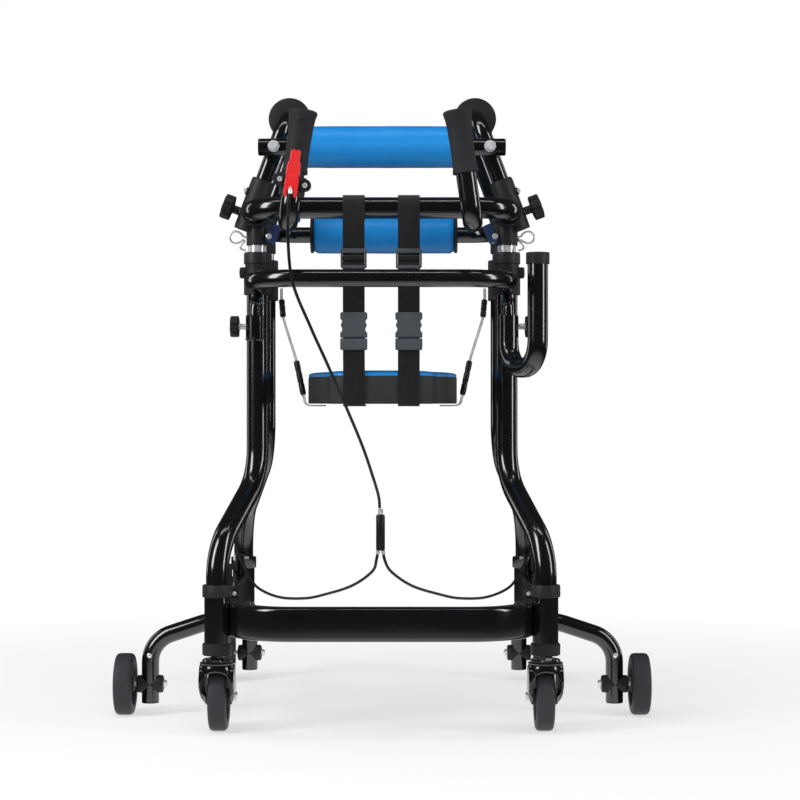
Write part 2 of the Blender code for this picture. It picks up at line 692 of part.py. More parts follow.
def star_knob(name, hub_end, axis, stem_length, stem_r, screw_length, radius, height):
    """A star knob: lobed head, round stem and screw; hub_end is where its stem meets the part."""
    outline = []
    for index in range(KNOB_LOBES * 3):
        angle = 2 * math.pi * index / (KNOB_LOBES * 3)
        dip = KNOB_DIP if index % 3 == 0 else 0.0
        outline.append(((radius - dip) * math.cos(angle), (radius - dip) * math.sin(angle)))
    turn = axis.to_track_quat("Z", "Y").to_matrix().to_4x4()
    head_place = Matrix.Translation(hub_end + axis * (stem_length + height / 2)) @ turn
    head = as_mesh(slab(outline, height, head_place))
    stem = rod(hub_end + axis * CLEARANCE, hub_end + axis * (stem_length + 0.002), stem_r)
    screw = rod(hub_end - axis * screw_length, hub_end + axis * 0.002, KNOB_SCREW_R, SMALL_STEPS)
    fuse(head, [stem, screw])
    keep(head, name, BLACK_MATTE)


def hoop(name, side):
    """An underarm hoop: two leaning legs and a top run that carries the padded roll."""
    corners = [on_hoop(side, FRONT_UPRIGHT_Y, HOOP_FRONT_FOOT_Z), on_hoop(side, FRONT_UPRIGHT_Y, HOOP_TOP_Z),
               on_hoop(side, HOOP_REAR_Y, HOOP_TOP_Z), on_hoop(side, HOOP_REAR_Y, HOOP_REAR_FOOT_Z)]
    keep(tube_object(bent_path(corners, HOOP_BEND), HOOP_R), f"hoop_{name}", BLACK_GLOSS)
    start = FRONT_UPRIGHT_Y + HOOP_BEND
    end = HOOP_REAR_Y - HOOP_BEND
    bore = bore_radius(HOOP_R, TURN_STEPS)
    centre = on_hoop(side, (start + end + PAD_END + CLEARANCE) / 2, HOOP_TOP_Z)
    half = (end - start - PAD_END - CLEARANCE) / 2
    edge = 0.004
    pad = [(PAD_R - edge, half), (PAD_R, half - edge), (PAD_R, -half + edge), (PAD_R - edge, -half),
           (bore, -half), (bore, half)]
    keep(turned(pad, centre, Y_AXIS), f"underarm_pad_{name}", BLUE)
    disc_half = PAD_END / 2
    disc = [(PAD_R - 0.001, disc_half), (PAD_R, disc_half - 0.001), (PAD_R, -disc_half + 0.001),
            (PAD_R - 0.001, -disc_half), (bore, -disc_half), (bore, disc_half)]
    keep(turned(disc, on_hoop(side, start + disc_half, HOOP_TOP_Z), Y_AXIS), f"pad_disc_{name}", BLACK_MATTE)


def roll(name, centre, half, tube_r):
    """A padded roll on a bar along X: a crowned cover with rounded ends."""
    bore = bore_radius(tube_r, TURN_STEPS)
    edge = 0.004
    profile = [(PAD_R - edge, half), (PAD_R, half - edge), (PAD_R, -half + edge), (PAD_R - edge, -half),
               (bore, -half), (bore, half)]
    keep(turned(profile, centre, X_AXIS), name, BLUE)


def chest_support():
    """The chest bar in front of the hoops, with its flange bolts, and its roll."""
    y = FRONT_UPRIGHT_Y - HOOP_R - CHEST_BAR_R - CLEARANCE
    bar = rod(at(-CHEST_HALF, y, CHEST_Z), at(CHEST_HALF, y, CHEST_Z), CHEST_BAR_R)
    bolts = []
    for _, side in SIDES:
        x = side * hoop_x(CHEST_Z)
        bolts.append(rod(at(x, y - CHEST_BAR_R - 0.003, CHEST_Z), at(x, y, CHEST_Z), CHEST_BOLT_R))
    fuse(bar, bolts)
    keep(bar, "chest_bar", BLACK_GLOSS)
    roll("chest_roll", at(0.0, y, CHEST_Z), CHEST_PAD_HALF, CHEST_BAR_R)


def hip_support():
    """The rear hip bar, a U that slides in the rails' ends, and its roll with end caps."""
    start = RAIL_END_Y - HIP_INSERT
    path = bent_path([at(-UPRIGHT_X, start, RING_Z), at(-UPRIGHT_X, HIP_Y, RING_Z),
                      at(UPRIGHT_X, HIP_Y, RING_Z), at(UPRIGHT_X, start, RING_Z)], HIP_BEND)
    keep(tube_object(path, HIP_R), "hip_bar", BLACK_GLOSS)
    roll("hip_roll", at(0.0, HIP_Y, RING_Z), HIP_PAD_HALF, HIP_R)


def upper_ring():
    """The upper ring's front bar, with ends that bend back into the front sockets."""
    end = SOCKET_FRONT_Y + SOCKET_DEPTH - CLEARANCE
    path = ring_path(RING_Y, UPRIGHT_X, RING_Z, RING_BEND, end)
    keep(tube_object(path, RING_R), "upper_ring", BLACK_GLOSS)


def handle_line(side):
    """Where a handle's upright part starts, and its direction upwards."""
    low = at(side * HANDLE_X, HANDLE_Y, HANDLE_LOW_Z)
    high = at(side * HANDLE_TOP_X, HANDLE_Y, HANDLE_TOP_Z)
    return low, high, (high - low).normalized()


def on_handle(side, z):
    low, _, up = handle_line(side)
    return low + up * ((z - low.z) / up.z)


def handle(name, side):
    """A handle tube bent back under the upper ring, with its clamp ring on the ring bar."""
    low, high, _ = handle_line(side)
    x = side * (HANDLE_X + HANDLE_FLARE)
    seat = at(x, RING_Y - RING_R - 0.003, RING_Z - 0.008)
    tube = as_mesh(tube_object(bent_path([high, low, seat], HANDLE_BEND), HANDLE_R))
    clamp = rod(at(x - 0.012, RING_Y, RING_Z), at(x + 0.012, RING_Y, RING_Z), RING_R + 0.0050, TURN_STEPS)
    bore = rod(at(x - 0.040, RING_Y, RING_Z), at(x + 0.040, RING_Y, RING_Z), bore_radius(RING_R, CUT_STEPS),
               CUT_STEPS)
    fuse(tube, [clamp])
    cut(tube, [bore])
    keep(tube, f"handle_{name}", BLACK_GLOSS)
    grip = rod(on_handle(side, GRIP_LOW_Z), on_handle(side, GRIP_TOP_Z), GRIP_R, TURN_STEPS)
    hollow = rod(on_handle(side, GRIP_LOW_Z - 0.010), on_handle(side, HANDLE_TOP_Z + CLEARANCE),
                 bore_radius(HANDLE_R, CUT_STEPS), CUT_STEPS)
    cut(grip, [hollow])
    keep(grip, f"grip_{name}", RUBBER)


def lever_frame(z):
    """Axes on the left handle's front: across, up along the handle, and forwards."""
    _, _, up = handle_line(-1.0)
    across = up.cross(-Y_AXIS).normalized()
    place = on_handle(-1.0, z)
    return Matrix((
        (across.x, up.x, 0.0, place.x), (0.0, 0.0, -1.0, place.y), (across.z, up.z, 0.0, place.z),
        (0.0, 0.0, 0.0, 1.0),
    ))


def brake_lever():
    """The red lever on its pin, and the bracket that clamps the pin's cheeks to the handle."""
    front = GRIP_R + LEVER_GAP
    frame = lever_frame(LEVER_HINGE_Z)
    outline = [(-0.0092, -0.032), (-0.0045, -0.032), (-0.0045, -0.025)]
    outline += arc((0.0, -0.025), 0.0045, 180.0, 0.0, 6)[1:]
    outline += [(0.0045, -0.032), (0.0092, -0.032), (0.0092, 0.014), (0.0066, 0.018), (0.0066, 0.033),
                (-0.0066, 0.033), (-0.0066, 0.018), (-0.0092, 0.014)]
    middle = front + LEVER_T / 2
    lever = as_mesh(slab(outline, LEVER_T, frame @ Matrix.Translation((0.0, 0.0, middle))))
    pin_line = [frame @ Vector((x, 0.0, middle)) for x in (-0.013, 0.013)]
    cut(lever, [rod(pin_line[0], pin_line[1], bore_radius(LEVER_PIN_R, SMALL_STEPS))])
    keep(lever, "brake_lever", RED)
    low = on_handle(-1.0, BRACKET_LOW_Z)
    high = on_handle(-1.0, LEVER_HINGE_Z - 0.001)
    bracket = rod(low, high, HANDLE_R + 0.0040, TURN_STEPS)
    joined = []
    for side in (-1.0, 1.0):
        cheek = box(Vector((side * 0.0117, -0.0034, (0.0092 + middle + 0.004) / 2)),
                    Vector((0.0034, 0.0101, middle + 0.004 - 0.0092)))
        cheek.matrix_world = frame @ Matrix.Translation(cheek.location)
        ear = rod(frame @ Vector((side * EAR_X, -0.010 - side * 0.002, 0.010)),
                  frame @ Vector((side * EAR_X, -0.010 - side * 0.002, 0.018)), EAR_R)
        joined += [ear, cheek]
    joined.append(rod(frame @ Vector((-0.012, 0.0, middle)), frame @ Vector((0.012, 0.0, middle)), LEVER_PIN_R,
                      SMALL_STEPS))
    bore = rod(on_handle(-1.0, BRACKET_LOW_Z - 0.020), on_handle(-1.0, LEVER_HINGE_Z + 0.020),
               bore_radius(HANDLE_R, CUT_STEPS), CUT_STEPS)
    fuse(bracket, joined)
    cut(bracket, [bore])
    keep(bracket, "lever_bracket", BLACK_MATTE)


def smooth_route(places, spacing):
    """Points along a smooth curve through chosen places (Catmull-Rom), about a spacing apart."""
    ends = [places[0] * 2 - places[1]] + places + [places[-1] * 2 - places[-2]]
    points = []
    for index in range(1, len(ends) - 2):
        a, b, c, d = ends[index - 1:index + 3]
        count = max(1, round((c - b).length / spacing))
        for part in range(count):
            t = part / count
            points.append(0.5 * (2 * b + (c - a) * t + (2 * a - 5 * b + 4 * c - d) * t * t
                                 + (3 * b - a - 3 * c + d) * t ** 3))
    points.append(places[-1].copy())
    return points


MAIN_CABLE = [
    (-0.1215, -0.2010, 0.7750), (-0.1243, -0.2010, 0.7560), (-0.1257, -0.1930, 0.7066),
    (-0.1203, -0.1700, 0.6490), (-0.0970, -0.1400, 0.5890), (-0.0712, -0.1100, 0.5300),
    (-0.0302, -0.0500, 0.4305), (-0.0110, -0.0080, 0.3720), (-0.0040, 0.0200, 0.3450),
    (-0.0027, 0.0280, 0.3290),
]
BRANCH_CABLE = [
    (0.0040, 0.0300, 0.2645), (0.0060, 0.0320, 0.2520), (0.0140, 0.0480, 0.2330), (0.0450, 0.0900, 0.2080),
    (0.0880, 0.1500, 0.1890), (0.1210, 0.1900, 0.1790), (0.1650, 0.2500, 0.1750), (0.2050, 0.3300, 0.1830),
    (0.2270, 0.4000, 0.2020), (0.2430, 0.4550, 0.2230), (0.2525, 0.4950, 0.2420),
    (BRAKE_X, 0.5200, 0.2485), (BRAKE_X, BRAKE_Y, 0.2420), (BRAKE_X, BRAKE_Y, 0.2263),
]
SPLITTER_X = -0.0015
SPLITTER_Y = 0.030
SPLITTER_R = 0.0066
SPLITTER_LOW_Z = 0.2655
SPLITTER_TOP_Z = 0.330


def cables():
    """The brake cable from the lever to the splitter, and a branch to each rear brake."""
    main = smooth_route([at(*place) for place in MAIN_CABLE], CABLE_SPACING)
    wire = as_mesh(tube_object(main, CABLE_R, WIRE_DETAIL))
    splitter = rod(at(SPLITTER_X, SPLITTER_Y, SPLITTER_LOW_Z), at(SPLITTER_X, SPLITTER_Y, SPLITTER_TOP_Z),
                   SPLITTER_R, SMALL_STEPS)
    fuse(wire, [splitter])
    keep(wire, "main_cable", BLACK_MATTE)
    for name, side in SIDES:
        route = [at(SPLITTER_X + side * x if index < 2 else side * x, y, z)
                 for index, (x, y, z) in enumerate(BRANCH_CABLE)]
        wire = tube_object(smooth_route(route, CABLE_SPACING), CABLE_R, WIRE_DETAIL)
        keep(wire, f"branch_cable_{name}", BLACK_MATTE)


def brake_arm(name, side):
    """A rear brake arm: cheek on its pivot, a bridge over the side bar, and a shoe at the tyre."""
    cheek = box(at(side * BRAKE_X, BRAKE_Y, BRAKE_PIVOT_Z - 0.006), BRAKE_CHEEK, 0.001)
    outer = REAR_WHEEL_X + 0.010
    bridge = box(at(side * (BRAKE_X - 0.003 + outer) / 2, BRAKE_Y, BRAKE_PIVOT_Z - 0.015),
                 Vector((outer - BRAKE_X + 0.003, BRIDGE_DEPTH, BRIDGE_H)))
    shoe_top = BRAKE_PIVOT_Z - 0.011
    shoe_low = 2 * WHEEL_R - 0.004
    shoe = box(at(side * (REAR_WHEEL_X - 0.002), BRAKE_Y, (shoe_top + shoe_low) / 2),
               Vector((SHOE_W, SHOE_DEPTH, shoe_top - shoe_low)), 0.001)
    pivot = rod(at(side * (BRAKE_X + 0.006), BRAKE_Y, BRAKE_PIVOT_Z),
                at(side * (REAR_X - 0.008), BRAKE_Y, BRAKE_PIVOT_Z), LEVER_PIN_R + 0.0005)
    fuse(cheek, [bridge, shoe, pivot])
    keep(cheek, f"brake_arm_{name}", BLACK_MATTE)


def clip(name, side):
    """A spring clip: a wire pin through the barrel, a teardrop loop and a small open loop."""
    places = [(0.1840, 0.7365), (0.2090, 0.7365), (0.2142, 0.7408), (0.2197, 0.7445), (0.2275, 0.7440),
              (0.2322, 0.7380), (0.2302, 0.7305), (0.2235, 0.7270), (0.2170, 0.7290), (0.2120, 0.7318),
              (0.2100, 0.7295), (0.2140, 0.7262), (0.2163, 0.7212), (0.2136, 0.7175), (0.2080, 0.7160)]
    route = smooth_route([at(side * x, FRONT_UPRIGHT_Y, z) for x, z in places], CLIP_SPACING)
    keep(tube_object(route, CLIP_WIRE_R, WIRE_DETAIL), f"spring_clip_{name}", STEEL)


def accessory_holders():
    """Left: a short sleeve on its peg. Right: a J-shaped holder tube. A star knob locks each."""
    bore_r = bore_radius(PEG_R, CUT_STEPS)
    sleeve = [(STUB_SLEEVE_R, HOLDER_TOP_Z), (STUB_SLEEVE_R, STUB_SLEEVE_LOW_Z), (bore_r, STUB_SLEEVE_LOW_Z),
              (bore_r, HOLDER_TOP_Z)]
    stub = as_mesh(turned(sleeve, at(-UPRIGHT_X, PEG_Y, 0.0), Z_AXIS))
    knob_z = (HOLDER_TOP_Z + STUB_SLEEVE_LOW_Z) / 2 + 0.002
    hole_r = bore_radius(KNOB_SCREW_R, SMALL_STEPS)
    cut(stub, [rod(at(-UPRIGHT_X, PEG_Y, knob_z), at(-UPRIGHT_X - 0.030, PEG_Y, knob_z), hole_r)])
    keep(stub, "peg_sleeve", BLACK_GLOSS)
    far_x = UPRIGHT_X + HOLDER_DX
    far_y = PEG_Y + HOLDER_DY
    path = bent_path([at(UPRIGHT_X, PEG_Y, HOLDER_TOP_Z), at(UPRIGHT_X, PEG_Y, HOLDER_LOW_Z),
                      at(far_x, far_y, HOLDER_LOW_Z), at(far_x, far_y, CAP_TOP_Z - 0.002)], HOLDER_BEND)
    holder = as_mesh(tube_object(path, HOLDER_R))
    cap = rod(at(far_x, far_y, CAP_LOW_Z), at(far_x, far_y, CAP_TOP_Z), CAP_R, TURN_STEPS)
    fuse(holder, [cap])
    cut(holder, [rod(at(UPRIGHT_X, PEG_Y, PEG_LOW_Z - CLEARANCE), at(UPRIGHT_X, PEG_Y, HOLDER_TOP_Z + 0.010),
                     bore_r, CUT_STEPS),
                 rod(at(UPRIGHT_X, PEG_Y, knob_z), at(UPRIGHT_X + 0.030, PEG_Y, knob_z), hole_r)])
    keep(holder, "holder_tube", BLACK_GLOSS)
    for (name, side), surface in zip(SIDES, (STUB_SLEEVE_R, HOLDER_R)):
        end = at(side * (UPRIGHT_X + surface), PEG_Y, knob_z)
        star_knob(f"peg_knob_{name}", end, X_AXIS * side, PEG_KNOB_REACH, PEG_KNOB_STEM_R, 0.0045, PEG_KNOB_R,
                  PEG_KNOB_H)


def seat():
    """The hanging seat: a board with a side band, a thin cover, and a wire rope at each side."""
    def outline(inset):
        nose = SEAT_NOSE_HALF - inset
        half = SEAT_HALF - inset
        front = SEAT_NOSE_Y + inset
        back = SEAT_BACK_Y - inset
        corner = SEAT_CORNER
        right = arc((nose - corner, front + corner), corner, 270.0, 360.0, 5)
        right += [(nose, SEAT_SHOULDER_Y - 0.030), (nose + 0.010, SEAT_SHOULDER_Y), (half - 0.010, 0.185),
                  (half, 0.205)]
        right += arc((half - corner, back - corner), corner, 0.0, 90.0, 5)
        return right + [(-x, y) for x, y in reversed(right)]
    cover_z = SEAT_TOP_Z - SEAT_COVER
    place = Matrix.Translation(at(0.0, 0.0, (SEAT_BOTTOM_Z + cover_z) / 2))
    board = as_mesh(slab(outline(0.0), cover_z - SEAT_BOTTOM_Z, place, 0.002))
    keep(board, "seat_board", SEAT_BAND)
    place = Matrix.Translation(at(0.0, 0.0, (cover_z + CLEARANCE + SEAT_TOP_Z) / 2))
    cover = as_mesh(slab(outline(0.0005), SEAT_TOP_Z - cover_z - CLEARANCE, place, 0.0026))
    keep(cover, "seat_cushion", BLUE)
    for name, side in SIDES:
        edge = SEAT_HALF
        down = [(0.1638, 0.300, 0.668), (0.1636, 0.299, 0.650), (0.1610, 0.296, 0.6214),
                (edge + 0.0181, 0.284, 0.5507), (edge + 0.0060, 0.272, 0.4960), (edge + 0.0035, 0.268, 0.4850),
                (edge - 0.0030, 0.265, 0.4795), (edge - 0.0260, 0.265, 0.4790)]
        near = [at(side * x, y - 0.0022, z) for x, y, z in down]
        far = [at(side * x, y + 0.0022, z) for x, y, z in down]
        turn = at(side * (edge - 0.0295), 0.265, 0.4790)
        rope = as_mesh(tube_object(smooth_route(near + [turn] + far[::-1], ROPE_SPACING), ROPE_R, WIRE_DETAIL))
        middles = [(a + b) / 2 for a, b in zip(near, far)]
        sleeves = [rod(middles[1], middles[2], ROPE_SLEEVE_R), rod(middles[3], middles[4], ROPE_SLEEVE_R)]
        fuse(rope, sleeves)
        keep(rope, f"seat_rope_{name}", STEEL)


def band_outline(points, thickness):
    """The outline of a strip that follows points in a plane."""
    left, right = [], []
    for index, (u, v) in enumerate(points):
        before = points[max(index - 1, 0)]
        after = points[min(index + 1, len(points) - 1)]
        along = Vector((after[0] - before[0], after[1] - before[1])).normalized()
        across = Vector((-along.y, along.x)) * thickness / 2
        left.append((u + across.x, v + across.y))
        right.append((u - across.x, v - across.y))
    return left + right[::-1]


def straps():
    """Each strap: a loop over the upper ring with its slider, a buckle, and a run under the seat."""
    sideways = Matrix(((0, 0, 1, 0), (1, 0, 0, 0), (0, 1, 0, 0), (0, 0, 0, 1)))
    loop_r = RING_R + CLEARANCE * 2 + STRAP_T / 2
    front_y = SEAT_NOSE_Y - STRAP_GAP - STRAP_T / 2
    low_z = SEAT_BOTTOM_Z - STRAP_GAP - STRAP_T / 2
    for name, side in SIDES:
        x = side * STRAP_X
        place = Matrix.Translation(at(x, 0.0, 0.0)) @ sideways
        upper = arc((RING_Y, RING_Z), loop_r, -40.0, 180.0, 14)
        upper += [(RING_Y - loop_r + 0.002, 0.720), (RING_Y - loop_r + 0.0126, BUCKLE_TOP_Z + CLEARANCE)]
        band = as_mesh(slab(band_outline(upper, STRAP_T), STRAP_W, place))
        slider_y = RING_Y - loop_r + 0.004
        slider = box(at(x, slider_y, SLIDER_Z), SLIDER, 0.002)
        fuse(band, [slider])
        keep(band, f"strap_{name}", WEBBING)
        strap_y = RING_Y - loop_r + 0.0130
        lower = [(strap_y, BUCKLE_TOP_Z - 0.030), (front_y, SEAT_TOP_Z), (front_y, SEAT_BOTTOM_Z + 0.001),
                 (front_y + 0.0008, low_z + 0.0010), (front_y + 0.0030, low_z), (0.130, low_z)]
        under = as_mesh(slab(band_outline(lower, STRAP_T), STRAP_W, place))
        body = box(at(x, strap_y, (BUCKLE_TOP_Z + BUCKLE_LOW_Z) / 2),
                   Vector((BUCKLE_W, BUCKLE_T, BUCKLE_TOP_Z - BUCKLE_LOW_Z)), 0.003)
        fuse(body, [under])
        keep(body, f"buckle_{name}", BUCKLE)


base_frame()
for name, side in SIDES:
    leg(f"front_leg_{name}", side, FRONT_UPRIGHT_Y, POST_X, 0.0, FRONT_KNEE_Z, UPRIGHT_LOW_Z, peg=True)
    leg(f"rear_leg_{name}", side, REAR_UPRIGHT_Y, REAR_X, REAR_Y, REAR_KNEE_Z, REAR_LOW_Z)
    post_collar(f"post_collar_{name}", side, side * POST_X, 0.0)
    caster(name, side)
    wheel_axle(f"outrigger_axle_{name}", side, OUTRIGGER_X, OUTRIGGER_Y, OUTRIGGER_WHEEL_X)
    wheel(f"outrigger_wheel_{name}", at(side * OUTRIGGER_WHEEL_X, OUTRIGGER_Y, WHEEL_R), WHEEL_R, WHEEL_W,
          WHEEL_W)
    wheel_axle(f"rear_axle_{name}", side, REAR_STUB_X, REAR_Y, REAR_WHEEL_X)
    wheel(f"rear_wheel_{name}", at(side * REAR_WHEEL_X, REAR_Y, WHEEL_R), WHEEL_R, WHEEL_W, WHEEL_W)
    brake_arm(name, side)
    side_frame(name, side)
    hoop(name, side)
    clip(name, side)
    handle(name, side)
    knob_end = on_hoop(side, FRONT_UPRIGHT_Y, RING_Z + 0.0005) + knob_axis(side) * HOOP_SLEEVE_R
    star_knob(f"star_knob_{name}", knob_end, knob_axis(side), KNOB_REACH - HOOP_SLEEVE_R, KNOB_STEM_R, KNOB_SCREW,
              KNOB_R, KNOB_H)
lower_ring()
upper_ring()
chest_support()
hip_support()
brake_lever()
cables()
accessory_holders()
seat()
straps()
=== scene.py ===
"""Looks of the rehabilitation walker: smooth tubes, fittings, padded rolls, webbing and wheels.

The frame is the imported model. Depth is counted from the plane of the front posts, as in its
source, and at() moves a place to the frame's own origin. Lengths are metres, and mm() turns
rows of millimetres into metres. +Z is up and the user faces -Y.
"""
import json
import math

import bpy
from mathutils import Matrix, Vector

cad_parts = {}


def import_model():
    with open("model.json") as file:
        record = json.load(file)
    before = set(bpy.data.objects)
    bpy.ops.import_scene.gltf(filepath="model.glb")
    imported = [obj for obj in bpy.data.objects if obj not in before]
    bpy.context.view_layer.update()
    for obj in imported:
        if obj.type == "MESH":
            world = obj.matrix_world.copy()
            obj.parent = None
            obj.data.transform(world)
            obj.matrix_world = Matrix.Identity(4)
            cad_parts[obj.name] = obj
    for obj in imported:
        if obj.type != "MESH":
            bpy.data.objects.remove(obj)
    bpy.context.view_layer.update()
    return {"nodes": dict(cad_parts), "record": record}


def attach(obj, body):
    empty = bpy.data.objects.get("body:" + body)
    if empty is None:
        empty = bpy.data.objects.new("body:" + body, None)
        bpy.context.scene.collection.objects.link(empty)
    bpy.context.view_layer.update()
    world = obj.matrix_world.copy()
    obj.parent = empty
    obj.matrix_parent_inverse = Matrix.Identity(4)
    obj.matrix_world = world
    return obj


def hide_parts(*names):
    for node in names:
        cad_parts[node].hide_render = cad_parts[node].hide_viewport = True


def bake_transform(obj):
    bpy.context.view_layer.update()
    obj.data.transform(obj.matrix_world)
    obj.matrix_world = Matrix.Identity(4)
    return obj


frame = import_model()

DEPTH_SHIFT = 0.197
X = Vector((1.0, 0.0, 0.0))
Y = Vector((0.0, 1.0, 0.0))
Z = Vector((0.0, 0.0, 1.0))
SIDES = (("left", -1.0), ("right", 1.0))
UPPER = "upper_frame"
HEX = {"steps": 6, "angle": 20.0}

WALL = 0.002
BOLT_R = 0.0038
POST_X = 0.24
BAR_MIDDLE_Z = 0.1665
BAR_HEIGHT = 0.049
REAR_X = 0.2453
REAR_Y = 0.56
REAR_STUB_X = 0.2345
REAR_WHEEL_X = 0.276
OUTRIGGER_X = 0.36
OUTRIGGER_Y = 0.178
OUTRIGGER_WHEEL_X = 0.399
LOW_TUBE_R = 0.0135
UPRIGHT_X = 0.19
FRONT_UPRIGHT_Y = 0.125
REAR_UPRIGHT_Y = 0.3
UPRIGHTS = (("front", FRONT_UPRIGHT_Y), ("rear", REAR_UPRIGHT_Y))
LEG_R = 0.0166
LEG_FOOT_Z = 0.1725
LEG_TOP_Z = 0.7
LEG_BEND = 0.085
TELESCOPE_R = 0.014
RING_Z = 0.769
RING_R = 0.0158
RING_BEND = 0.045
RAIL_R = 0.0168
LOWER_RING_Z = 0.661
LOWER_RING_X = 0.1865
LOWER_RING_Y = -0.085
LOWER_RING_R = 0.0127
HOOP_LEAN = 0.37
HOOP_TOP_X = 0.1436
HOOP_TOP_Z = 0.923
HOOP_REAR_Y = 0.39
HOOP_BEND = 0.042
HOOP_R = 0.0127
HOOP_SLEEVE_LOW_Z = 0.746
HOOP_SLEEVE_TOP_Z = 0.823
PAD_R = 0.0312
CHEST_Z = 0.8705
CHEST_HALF = 0.187
CHEST_BAR_R = 0.013
CHEST_BAR_Y = FRONT_UPRIGHT_Y - HOOP_R - CHEST_BAR_R - 0.0003
HIP_Y = 0.48
HIP_R = 0.0134
HIP_ROLL_HALF = 0.119
WHEEL_R = 0.0475
WHEEL_WIDTH = 0.028
CASTER_R = 0.05
CASTER_TRAIL = 0.028
CASTER_WIDTH = 0.027
CASTER_HUB_WIDTH = 0.038
BRAKE_X = 0.2538
BRAKE_Y = 0.528
PEG_Y = 0.073
PEG_Z = 0.638
HOLDER_X = 0.228
HOLDER_Y = -0.012
HOLDER_LOW_Z = 0.536
HANDLE_X = 0.128
HANDLE_TOP_X = 0.106
HANDLE_Y = -0.172
HANDLE_LOW_Z = 0.729
HANDLE_TOP_Z = 0.886
HANDLE_R = 0.014
GRIP_LOW_Z = 0.8
GRIP_TOP_Z = 0.8865
LEVER_Z = 0.796
CABLE_R = 0.0022
SPLITTER_X = -0.0015
SPLITTER_Y = 0.03
STRAP_X = 0.0402
STRAP_W = 0.032
STRAP_T = 0.0025
STRAP_LOOP_R = RING_R + 0.0006 + STRAP_T / 2
SEAT_FRONT_Y = 0.01
SEAT_BACK_Y = 0.33
SEAT_HALF = 0.1165
SEAT_NOSE_HALF = 0.078
SEAT_LOW_Z = 0.482
SEAT_TOP_Z = 0.53


def at(x, y, z):
    """A place counted from the front post plane, in the frame."""
    return Vector((x, y - DEPTH_SHIFT, z))


def u_line(half, end_y, y, z):
    """Corners of a level U whose ends are at end_y."""
    return [at(-half, end_y, z), at(-half, y, z), at(half, y, z), at(half, end_y, z)]


def mm(*rows):
    """Rows of millimetres, in metres."""
    return [tuple(value / 1000 for value in row) for row in rows]


def hoop_x(z):
    """Where a hoop leg's axis stands sideways at a height."""
    return HOOP_TOP_X + (HOOP_TOP_Z - z) * HOOP_LEAN


def on_hoop(side, y, z):
    return at(side * hoop_x(z), y, z)


def on_handle(side, z):
    """A place on a handle's leaning upright."""
    share = (z - HANDLE_LOW_Z) / (HANDLE_TOP_Z - HANDLE_LOW_Z)
    return at(side * (HANDLE_X + (HANDLE_TOP_X - HANDLE_X) * share), HANDLE_Y, z)


LEVER_UP = (on_handle(-1.0, HANDLE_TOP_Z) - on_handle(-1.0, HANDLE_LOW_Z)).normalized()
LEVER_ACROSS = LEVER_UP.cross(-Y).normalized()


def both(*makers):
    """Makes each given sub-part on the left and then on the right."""
    for word, side in SIDES:
        for maker in makers:
            maker(word, side)


class Value:
    """A shader socket that takes part in sums."""

    def __init__(self, nodes, socket):
        self.nodes = nodes
        self.socket = socket

    def maths(self, operation, other):
        return self.nodes.node("Math", {"operation": operation}, {0: self, 1: other})

    def __add__(self, other):
        return self.maths("ADD", other)

    def __mul__(self, other):
        return self.maths("MULTIPLY", other)


class Nodes:
    """A node tree whose nodes are added by one method."""

    def __init__(self, tree):
        self.tree = tree

    def node(self, kind, settings, sockets, output=0):
        """Adds a node: its settings first, then the values or links of its sockets."""
        made = self.tree.nodes.new("ShaderNode" + kind)
        for key, value in settings.items():
            setattr(made, key, value)
        for key, value in sockets.items():
            if isinstance(value, Value):
                self.tree.links.new(value.socket, made.inputs[key])
            else:
                made.inputs[key].default_value = value
        return Value(self, made.outputs[output])

    def remap(self, value, start, end, low, high):
        """Remaps one range onto another, clamped."""
        levels = {"Value": value, "From Min": start, "From Max": end, "To Min": low, "To Max": high}
        return self.node("MapRange", {}, levels)

    def rays(self, kind):
        return self.node("LightPath", {}, {}, f"Is {kind} Ray")


class Finish(Nodes):
    """A Principled material."""

    def __init__(self, name, roughness, metallic=0.0, coat=0.0, sheen=0.0, ior=1.5, specular=0.5):
        self.material = bpy.data.materials.new(name)
        self.material.use_nodes = True
        super().__init__(self.material.node_tree)
        self.shader = self.tree.nodes["Principled BSDF"]
        levels = {"Roughness": roughness, "Metallic": metallic, "Coat Weight": coat, "Coat Roughness": 0.06,
                  "Sheen Weight": sheen, "IOR": ior, "Specular IOR Level": specular}
        for socket, level in levels.items():
            self.shader.inputs[socket].default_value = level
        self.places = self.node("TexCoord", {}, {}, "Object")

    def noise(self, scale, detail=3.0, stretch=(1.0, 1.0, 1.0)):
        """Noise on the piece's own places, between 0 and 1."""
        spread = self.node("Mapping", {}, {"Vector": self.places, "Scale": stretch})
        return self.node("TexNoise", {}, {"Vector": spread, "Scale": scale, "Detail": detail})

    def waves(self, direction, scale, distortion):
        """Even bands on the piece's own places."""
        return self.node("TexWave", {"wave_type": "BANDS", "bands_direction": direction},
                         {"Vector": self.places, "Scale": scale, "Distortion": distortion})

    def sine(self, value):
        return self.node("Math", {"operation": "SINE"}, {0: value})

    def blend(self, factor, first, second):
        """A colour between two colours."""
        return self.node("Mix", {"data_type": "RGBA"}, {0: factor, 6: first, 7: second}, 2)

    def wear(self, colour, value, low, high, height, strength, distance):
        """Links the colour, a roughness from low to high, and a bump to the shader."""
        bump = self.node("Bump", {}, {"Height": height, "Strength": strength, "Distance": distance})
        links = {"Base Color": colour, "Roughness": self.remap(value, 0.0, 1.0, low, high), "Normal": bump}
        for key, link in links.items():
            self.tree.links.new(link.socket, self.shader.inputs[key])
        return self.material


def rgb(red, green, blue):
    """A colour written as it is seen on screen, from 0 to 255."""
    levels = [value / 255 for value in (red, green, blue)]
    return (*[((v + 0.055) / 1.055) ** 2.4 if v > 0.04 else v / 12.92 for v in levels], 1.0)


